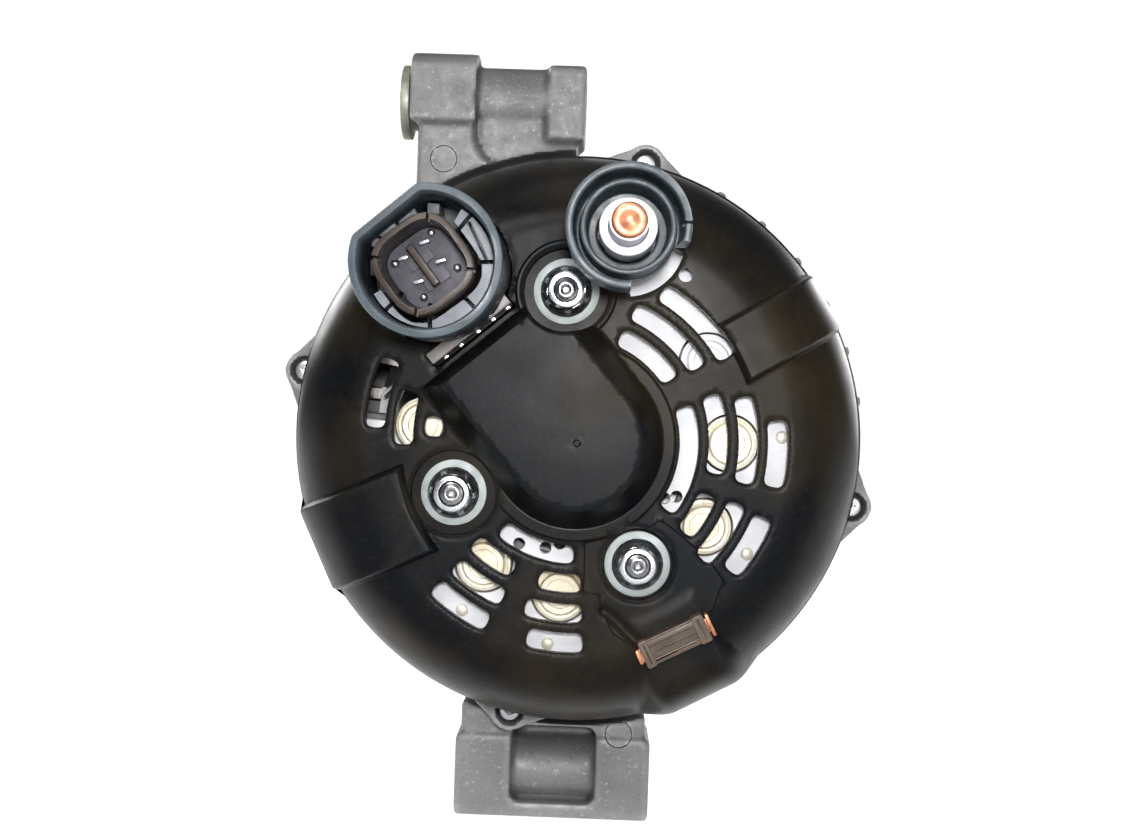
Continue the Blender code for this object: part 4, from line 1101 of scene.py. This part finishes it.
def window_outlines(inner, outer):
    """Twelve air windows between the spokes of an end wall."""
    return [sector(inner, outer, 30 * i + 5.5, 30 * i + 24.5, 5) for i in range(12)]


def box_at(inner, outer, half_width, degrees):
    return turned_to(rectangle(inner, outer, -half_width, half_width), degrees)


def build_rear_housing(look):
    """Barrel with air windows, its end wall with twelve more, the bearing seat and four bolt ears."""
    body = turned([(62.2, -22.0), (62.2, -17.9), (HOUSING_RADIUS, -17.9), (HOUSING_RADIUS, 3.4), (62.0, 3.4),
                   (62.0, -18.4), (16.4, -18.4), (16.4, -33.4), (9.5, -33.4), (9.5, -35.2), (19.4, -35.2),
                   (19.4, -22.0)], 128)
    fins = [prism(box_at(64.6, 68.5, 1.3, 10.4 * i + 9.4), -15.0, 3.4) for i in range(6)]
    cuts = [prism(outline, -30, -10) for outline in window_outlines(31, 56)]
    cuts += [prism(box_at(60, 75, 2.6, 10.4 * i + 14.6), -14.5, -4.5) for i in range(5)]
    cuts += [prism(box_at(60, 75, 3.2, a), -14.5, -4.5)
             for a in list(range(-84, -24, 15)) + list(range(186, 246, 15)) + [130, 147]]
    cuts += [rod(64.6, CORE_BACK_Y - 0.5, 10, sides=128), rod(62.1, -18.3, 0, sides=128)]
    pockets = [turned([(0, -30), (3.45, -30), (3.45, -13.45), (2.6, -13.45), (2.6, 10), (0, 10)], 40,
                      polar(BOLT_RADIUS, a)) for a in bolt_angles()]
    piece("slip_ring_end_housing", look, [body] + ears(-17.9, 3.4) + fins, nodes=["rear_housing"],
          cuts=cuts + pockets, cast=0.8)


def lug_section(z, height_up, height_down, depth, bulge):
    """(y, z) outline of a lug: flat sides and a domed end that points away from the shaft."""
    sign = 1 if z > 0 else -1
    corner = z + sign * height_up
    round_end = [(-depth * math.cos(math.radians(a)), corner + sign * bulge * math.sin(math.radians(a)))
                 for a in range(0, 181, 12)]
    return [(-depth, z - sign * height_down)] + round_end + [(depth, z - sign * height_down)]


def ring_groove(x, z, radius, y):
    """Shallow witness of an ejector pin on a face at y."""
    return turned([(radius - 0.14, y - 1), (radius + 0.14, y - 1), (radius + 0.14, y + 0.6),
                   (radius - 0.14, y + 0.6)], 48, (x, z))


def build_front_housing(look):
    """Barrel with its end wall, and the two lugs cast to it."""
    body = turned([(67.4, 21.4), (67.4, 43.0), (64.4, 49.5), (60.0, 52.0), (29.0, 52.0), (29.0, 60.5),
                   (15.5, 60.5), (15.5, 58.4), (23.8, 58.4), (23.8, 43.8), (28.0, 43.8), (28.0, 47.4),
                   (60.0, 47.4), (62.4, 44.0), (62.4, 21.4)], 128)
    raised_web = rounded([(-41.7, 50), (-16, 50), (-23.2, 65), (-26.9, 69), (-28.1, 72), (-28.1, 77),
                          (-41.7, 77)], 1.8, 4)
    top = [x_prism(lug_section(TOP_LUG_Z, 7.0, 5.9, 10.8, 5.0), -43.8, -27.7),
           x_prism(lug_section(TOP_LUG_Z, 7.0, 9.6, 9.5, 2.8), -10.1, -0.9),
           along_x(rod(9.1, -10, 10, sides=64), (-19, 0, TOP_LUG_Z)),
           prism(raised_web, -9.5, 34),
           block((-30, -7.9, 50), (-2.8, 34, 76)),
           block((-41, 3, 60), (-4, 9.5, 80))]
    bottom = [x_prism(lug_section(BOTTOM_LUG_Z, 7.2, 10.5, 10.4, 3.5), -27.4, 20.2),
              block((-26.2, -9.5, -76), (18.8, 34, -50))]
    pocket = prism(rounded(rectangle(-13.7, 6.9, -89.4, -70.8), 2.4, 4), -16, 0.5)
    groove_line = [(-27.6, 78), (-27.6, 72), (-26.3, 69.2), (-22.6, 65.2), (-15.4, 50)]
    web_groove = prism(groove_line + [(x + 1.3, z + 0.3) for x, z in reversed(groove_line)], -12, -7.1)
    pin = along_x(rod(8.0, -12.5, 12.5, sides=64), (-3.2, 0, BOTTOM_LUG_Z + 1.0))
    obj = new_object("lugs", mesh_of("lugs", [top[0]]))
    boolean(obj, top[1:] + bottom, "UNION")
    boolean(obj, [pocket, web_groove], "DIFFERENCE")
    boolean(obj, [body, pin] + ears(21.4, 41.0), "UNION")
    clear = [rod(70.2, -40, 3.9, sides=128), rod(62.4, -20, 44, sides=128)]
    clear += [rod(5.4, -30, 21.0, polar(BOLT_RADIUS, a), 32) for a in bolt_angles()]
    clear += [rod(2.6, 0, 38, polar(BOLT_RADIUS, a), 24) for a in bolt_angles()]
    clear += [rod(64.6, -20, 31, sides=160)]
    clear += [rod(1.8, 40, 49.6, polar(25.9, 45 + 90 * i), 24) for i in range(4)]
    vents = [prism(box_at(58, 75, 3.0, a), 33.5, 42.5) for a in range(0, 360, 15)
             if all(abs((a - b + 180) % 360 - 180) > 8.5 for b in bolt_angles())
             and not 84 < a < 132 and not 246 < a < 294]
    vents += [prism(outline, 45, 54) for outline in window_outlines(33, 55)]
    boolean(obj, clear + vents, "DIFFERENCE")
    cast_skin(obj, 0.75)
    machined = [along_x(rod(LUG_BORE, -60, 60, sides=48), (0, 0, z)) for z in (TOP_LUG_Z, BOTTOM_LUG_Z)]
    machined += [along_x(rod(7.2, -60, 60, sides=64), (-60 - 27, 0, TOP_LUG_Z))]
    machined += [ring_groove(-35.1, 66.8, 3.2, -9.5), ring_groove(12.4, -72.0, 3.2, -9.5)]
    boolean(obj, machined, "DIFFERENCE", False)
    dressed(obj, "drive_end_housing", look, "housing", ["front_housing"])


def build_lug_bush(look):
    """Sleeve in the top lug, with a flange at its left end."""
    profile = rounded([(LUG_BORE, -9.35), (9.1, -9.35), (9.1, -7.2), (6.85, -7.2), (6.85, 8),
                       (LUG_BORE, 8)], 0.3, 2)
    piece("clamp_bush", look, [along_x(turned(profile, 64), (-37.0, 0, TOP_LUG_Z))], nodes=["lug_bush"])


# ---------------------------------------------------------------- stator

def build_stator(steel, copper):
    """Stack of sheets with 36 slots inside and eight weld grooves outside, and its winding."""
    profile = rounded(rectangle(49.95, 63.95, CORE_BACK_Y, CORE_FRONT_Y), 0.4, 2)
    slots = [prism(box_at(45, 60.2, 1.75, 10 * i), -60, 60) for i in range(36)]
    welds = [rod(1.5, -10, 40, polar(64.6, 45 * i + 22), 20) for i in range(8)]
    piece("laminated_core", steel, [turned(profile, 180)], nodes=["stator_core"],
          cuts=slots + welds)
    build_winding(copper)


def build_winding(look):
    """Formed wire: straight legs in the slots and crossed loops at both ends, held by varnish."""
    verts, faces = [], []

    def wire(points, radius=0.78, sides=7):
        first = len(verts)
        for i, point in enumerate(points):
            ahead = (points[min(i + 1, len(points) - 1)] - points[max(i - 1, 0)]).normalized()
            across = ahead.cross(Vector((point.x, 0, point.z)).normalized()).normalized()
            outward = across.cross(ahead)
            for k in range(sides):
                a = 2 * math.pi * k / sides
                verts.append(tuple(point + across * radius * math.cos(a) + outward * radius * math.sin(a)))
        for i in range(len(points) - 1):
            for k in range(sides):
                a, b = first + i * sides + k, first + i * sides + (k + 1) % sides
                faces.append([a, b, b + sides, a + sides])
        faces.append(list(range(first, first + sides)))
        faces.append(list(range(len(verts) - sides, len(verts))))

    for layer, radius in enumerate((53.4, 55.5, 57.6)):
        for i in range(36):
            start, end = 10 * i, 10 * i + 30 * (1 if layer % 2 else -1)
            for base, sign, tall in ((CORE_BACK_Y, -1, 10.6), (CORE_FRONT_Y, 1, 10.4)):
                points = []
                for k in range(13):
                    t = k / 12
                    height = tall * math.sin(math.pi * t) ** 0.55 - 4.0 * (1 - math.sin(math.pi * t)) ** 2
                    x, z = polar(radius, start + (end - start) * smooth_step(t, 0.02, 0.98))
                    points.append(Vector((x, base + sign * height, z)))
                wire(points)
    loops = new_object("winding_loops", mesh_of("winding_loops", [(verts, faces)]))
    dressed(loops, "winding_loops", look, "housing", ["stator_winding"], 60)
    leg_ends = (CORE_BACK_Y - 3.5, CORE_FRONT_Y + 3.5)
    legs = [prism(box_at(52.6, 58.4, 1.35, 10 * i), *leg_ends, 0.3) for i in range(36)]
    obj = new_object("winding_legs", mesh_of("winding_legs", legs))
    dressed(obj, "winding_legs", look, "housing", ["stator_winding"], 60)


# ---------------------------------------------------------------- rotor and pulley

def build_fan(name, node, look, hub, y_disc, blade_y, inner, lean):
    """Pressed steel fan: a disc with ten curved blades."""
    disc = turned(rounded(rectangle(hub, 43.9, *y_disc), 0.3, 2), 96)
    blades = []
    for i in range(10):
        start = 36 * i
        path = [(inner + (47.3 - inner) * t / 8, start + lean * (t / 8) ** 1.7) for t in range(9)]
        near = [polar(r, a) for r, a in path]
        far = [polar(r, a + 1.9) for r, a in reversed(path)]
        blades.append(prism(near + far, *blade_y, 0.25))
    piece(name, look, [disc] + blades, "rotor", [node])


def build_pulley(look, nut_look, shaft_look):
    """Six-groove pulley, its nut, and the shaft that shows at the front of them."""
    pitch, depth, first, outer = 3.56, 2.9, 63.2, 27.85
    corners = [(8.9, 58.95), (14.55, 58.95), (14.55, 63.0), (21.5, 63.0), (21.5, 62.05), (outer, 62.05)]
    for i in range(6):
        y = first + pitch * i
        corners += [(outer, y + 0.35), (outer - depth, y + pitch / 2 - 0.25),
                    (outer - depth, y + pitch / 2 + 0.25), (outer, y + pitch - 0.35)]
    last = first + pitch * 6
    corners += [(outer, last + 1.15), (22.5, last + 1.15), (21.6, 79.5), (21.2, 77.4), (8.9, 77.4)]
    grooved = turned(rounded(corners, 0.32, 2), 128)
    piece("poly_v_pulley", look, [grooved], "rotor", ["pulley"])
    hexes = prism(hexagon(22.0, (0, 0)), 78.6, 85.5)
    cone = turned([(0, 77), (14.6, 77), (14.6, 83.6), (11.0, 85.45), (0, 85.45)], 72)
    obj = new_object("nut", mesh_of("nut", [hexes]))
    boolean(obj, [cone], "INTERSECT")
    boolean(obj, [turned(rounded(rectangle(0, 14.9, 77.9, 79.6), 0.4, 3), 72)], "UNION")
    boolean(obj, [rod(8.95, 70, 95, sides=64)], "DIFFERENCE")
    dressed(obj, "pulley_hex_nut", nut_look, "rotor", ["pulley_nut"])
    ridges, thread_end = thread(78.0, 87.5, 1.25, ((8.1, 0.0), (8.1, 0.25), (8.5, 0.75), (8.5, 0.9)))
    profile = [(0, -57.5), (3.2, -57.5), (3.4, -57.3), (3.4, -36.2), (5.95, -36.2), (5.95, -21.0),
               (8.5, -21.0), (8.5, 37.4), (11.2, 37.4), (11.2, 43.6), (8.5, 43.6), (8.5, 77.6)]
    profile += ridges + [(8.1, thread_end), (7.5, 88.6), (7.5, 89.5), (7.0, 90.0), (0, 90.0)]
    piece("shaft", shaft_look, [turned(profile, 72)], "rotor", ["rotor_shaft"],
          cuts=[prism(hexagon(8.0, (0, 0)), 82, 95)], sharp=50)


# ---------------------------------------------------------------- parts carried over from the CAD model

def dress_cad_nodes(looks):
    """Gives each CAD node that stays visible its material."""
    for node, look in looks.items():
        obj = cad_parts[node]
        obj.data.materials.clear()
        obj.data.materials.append(look)


# ---------------------------------------------------------------- studio

CAMERA_PLACE = (4.2, -373.0, 7.9)
CAMERA_LENS, SENSOR = 47.08, 36.0
CAMERA_PAN, CAMERA_TILT, CAMERA_ROLL = 0.99, -0.58, 2.0
FLOOR_Z = -95.6
# Name, place, target, size (all in metres) and watts
LIGHTS = (
    ("key", (-0.16, -0.60, 0.36), (0.0, -0.03, 0.0), 0.26, 1.6),
    ("fill", (0.30, -0.52, 0.06), (0.0, -0.03, 0.0), 0.30, 0.35),
    ("flash", (0.015, -0.43, 0.055), (0.005, 0.0, 0.0), 0.05, 1.0),
    ("top", (0.0, -0.10, 0.75), (0.0, 0.0, 0.0), 0.6, 0.7),
    ("back_left", (-0.45, 0.60, 0.30), (0.0, 0.05, 0.0), 0.35, 2.0),
    ("back_right", (0.40, 0.65, 0.15), (0.0, 0.05, 0.0), 0.30, 1.4),
)


def area_light(name, place, target, size, power):
    lamp = bpy.data.lights.new(name, "AREA")
    lamp.shape = "DISK"
    lamp.size = size
    lamp.energy = power
    obj = new_object(name, lamp)
    obj.location = place
    obj.rotation_euler = (Vector(target) - Vector(place)).to_track_quat("-Z", "Y").to_euler()


def build_studio(floor_look):
    camera = new_object("camera", bpy.data.cameras.new("camera"))
    camera.data.lens = CAMERA_LENS
    camera.data.sensor_width = SENSOR
    camera.data.clip_start = 0.01
    turn = Matrix.Rotation(math.radians(CAMERA_PAN), 4, "Z")
    turn = turn @ Matrix.Rotation(math.radians(90 + CAMERA_TILT), 4, "X")
    turn = turn @ Matrix.Rotation(math.radians(CAMERA_ROLL), 4, "Z")
    camera.matrix_world = Matrix.Translation(Vector(CAMERA_PLACE) * MM) @ turn
    bpy.context.scene.camera = camera

    bpy.ops.mesh.primitive_grid_add(x_subdivisions=8, y_subdivisions=8, size=6.0,
                                    location=(0, 0, FLOOR_Z * MM))
    floor = bpy.context.active_object
    floor.name = "studio_floor"
    floor.data.materials.append(floor_look)

    world = bpy.data.worlds.new("studio")
    bpy.context.scene.world = world
    world.use_nodes = True
    tree = world.node_tree
    place = tree.nodes.new("ShaderNodeTexCoord")
    split = tree.nodes.new("ShaderNodeSeparateXYZ")
    ramp = tree.nodes.new("ShaderNodeMapRange")
    ramp.interpolation_type = "SMOOTHSTEP"
    limits = (*WORLD_TURN, WORLD_DIM, WORLD_BRIGHT)
    for socket, value in zip(("From Min", "From Max", "To Min", "To Max"), limits):
        ramp.inputs[socket].default_value = value
    tree.links.new(place.outputs["Generated"], split.inputs[0])
    tree.links.new(split.outputs["Y"], ramp.inputs["Value"])
    tree.links.new(ramp.outputs["Result"], tree.nodes["Background"].inputs["Strength"])
    tree.nodes["Background"].inputs["Color"].default_value = rgb(1.0, 1.0, 1.0)

    bpy.context.scene.view_settings.view_transform = "Standard"
    for light in LIGHTS:
        area_light(*light)


# ---------------------------------------------------------------- everything

def main():
    black = black_moulding()
    painted_light_grey = painted_light_grey_moulding("painted_light_grey_moulding", 0.75)
    cup_painted_light_grey = painted_light_grey_moulding("cup_moulding", 0.2)
    brown = brown_moulding("brown_moulding", rgb(0.012, 0.008, 0.006), rgb(0.042, 0.027, 0.019))
    strip_brown = brown_moulding("strip_moulding", rgb(0.13, 0.115, 0.11), rgb(0.23, 0.205, 0.19))
    clip_brown = brown_moulding("clip_moulding", rgb(0.045, 0.030, 0.022), rgb(0.105, 0.072, 0.052))
    face_grey = brown_moulding("insert_face_moulding", rgb(0.035, 0.033, 0.043), rgb(0.095, 0.09, 0.11),
                               (0.4, 0.58), 0.35)
    inner_plastic = brown_moulding("inner_moulding", rgb(0.03, 0.032, 0.034), rgb(0.07, 0.07, 0.072))
    shelf_grey = brown_moulding("shelf_moulding", rgb(0.06, 0.07, 0.08), rgb(0.20, 0.215, 0.24),
                                (0.25, 0.4), 0.4)
    rib_grey = brown_moulding("rib_moulding", rgb(0.035, 0.04, 0.045), rgb(0.11, 0.12, 0.135),
                              (0.3, 0.5), 0.3)
    aluminium = cast_aluminium("cast_aluminium", rgb(0.165, 0.165, 0.168), rgb(0.245, 0.245, 0.245))
    bright = machined_metal("zinc_plate", rgb(0.70, 0.72, 0.78), rgb(0.90, 0.91, 0.95), (0.2, 0.36))
    collar_look = machined_metal("collar_plate", rgb(0.93, 0.93, 1.0), rgb(0.98, 0.98, 1.0),
                                 (0.34, 0.5), metallic=0.4)
    thread_look = machined_metal("thread_plate", rgb(0.80, 0.78, 0.90), rgb(0.95, 0.94, 1.0),
                                 (0.35, 0.5), metallic=0.3)
    blade_look = machined_metal("blade_plate", rgb(0.22, 0.22, 0.26), rgb(0.55, 0.55, 0.62), (0.25, 0.45))
    bush_look = machined_metal("bush_plate", rgb(0.30, 0.30, 0.24), rgb(0.46, 0.46, 0.38),
                               (0.45, 0.65), metallic=0.7)
    bolt_look = machined_metal("bolt_plate", rgb(0.62, 0.63, 0.66), rgb(0.85, 0.85, 0.88), (0.24, 0.42))
    stud_look = machined_metal("stud_plate", rgb(0.28, 0.29, 0.32), rgb(0.52, 0.52, 0.50), (0.2, 0.36))
    washer = machined_metal("washer_plate", rgb(0.33, 0.365, 0.36), rgb(0.44, 0.475, 0.47),
                            (0.5, 0.66), metallic=0.5)
    fin = fin_metal()
    dark_fin = machined_metal("lower_fin_metal", rgb(0.42, 0.42, 0.43), rgb(0.6, 0.6, 0.61), (0.4, 0.6))
    diode = diode_metal()
    lamination = laminated_steel()
    winding = enamelled_copper()
    copper = bare_copper()
    steel = dark_steel("dark_steel", rgb(0.10, 0.10, 0.105), rgb(0.24, 0.235, 0.23))
    fan_steel = dark_steel("fan_steel", rgb(0.20, 0.20, 0.21), rgb(0.38, 0.38, 0.39))
    pulley_steel = dark_steel("pulley_steel", rgb(0.22, 0.22, 0.225), rgb(0.42, 0.42, 0.42), (0.26, 0.45))
    bearing = machined_metal("bearing_steel", rgb(0.55, 0.55, 0.57), rgb(0.75, 0.75, 0.77), (0.15, 0.3))
    brass = machined_metal("slip_ring_brass", rgb(0.62, 0.38, 0.20), rgb(0.82, 0.55, 0.30), (0.15, 0.35))
    carbon = carbon_block()

    build_studio(studio_floor())
    build_cover(black)
    for number, place in enumerate(STUD_PLACES, 1):
        build_nut(number, place, bright, stud_look, washer)
    for number, angle in enumerate(bolt_angles(), 1):
        build_through_bolt(number, angle, bolt_look)
    build_b_terminal(cup_painted_light_grey, collar_look, thread_look, copper)
    build_clip(clip_brown, copper)
    build_regulator(painted_light_grey, shelf_grey, rib_grey)
    build_insert(brown, face_grey, blade_look, bright)
    build_terminal_bar(strip_brown, black, bright)
    build_fins(fin, dark_fin, diode, inner_plastic)
    build_rear_housing(aluminium)
    build_front_housing(aluminium)
    build_lug_bush(bush_look)
    build_stator(lamination, winding)
    build_fan("rear_fan", "fan_rear", fan_steel, 9.6, (-10.9, -9.4), (-17.2, -10.0), 30.0, 24)
    build_fan("front_fan", "fan_front", fan_steel, 11.6, (37.4, 38.8), (38.0, 45.6), 31.0, -24)
    build_pulley(pulley_steel, bright, steel)
    carried = {"pole_front": steel, "pole_rear": steel, "coil_bobbin": inner_plastic, "field_coil": winding,
               "slip_ring_core": inner_plastic, "slip_ring_1": brass, "slip_ring_2": brass,
               "brush_holder": inner_plastic, "brush_1": carbon, "brush_2": carbon,
               "brush_spring_1": bright, "brush_spring_2": bright, "bearing_retainer": fan_steel}
    for side in ("front", "rear"):
        for part in ("inner", "outer", "balls"):
            carried[f"{side}_bearing_{part}"] = bearing
    dress_cad_nodes(carried)


main()
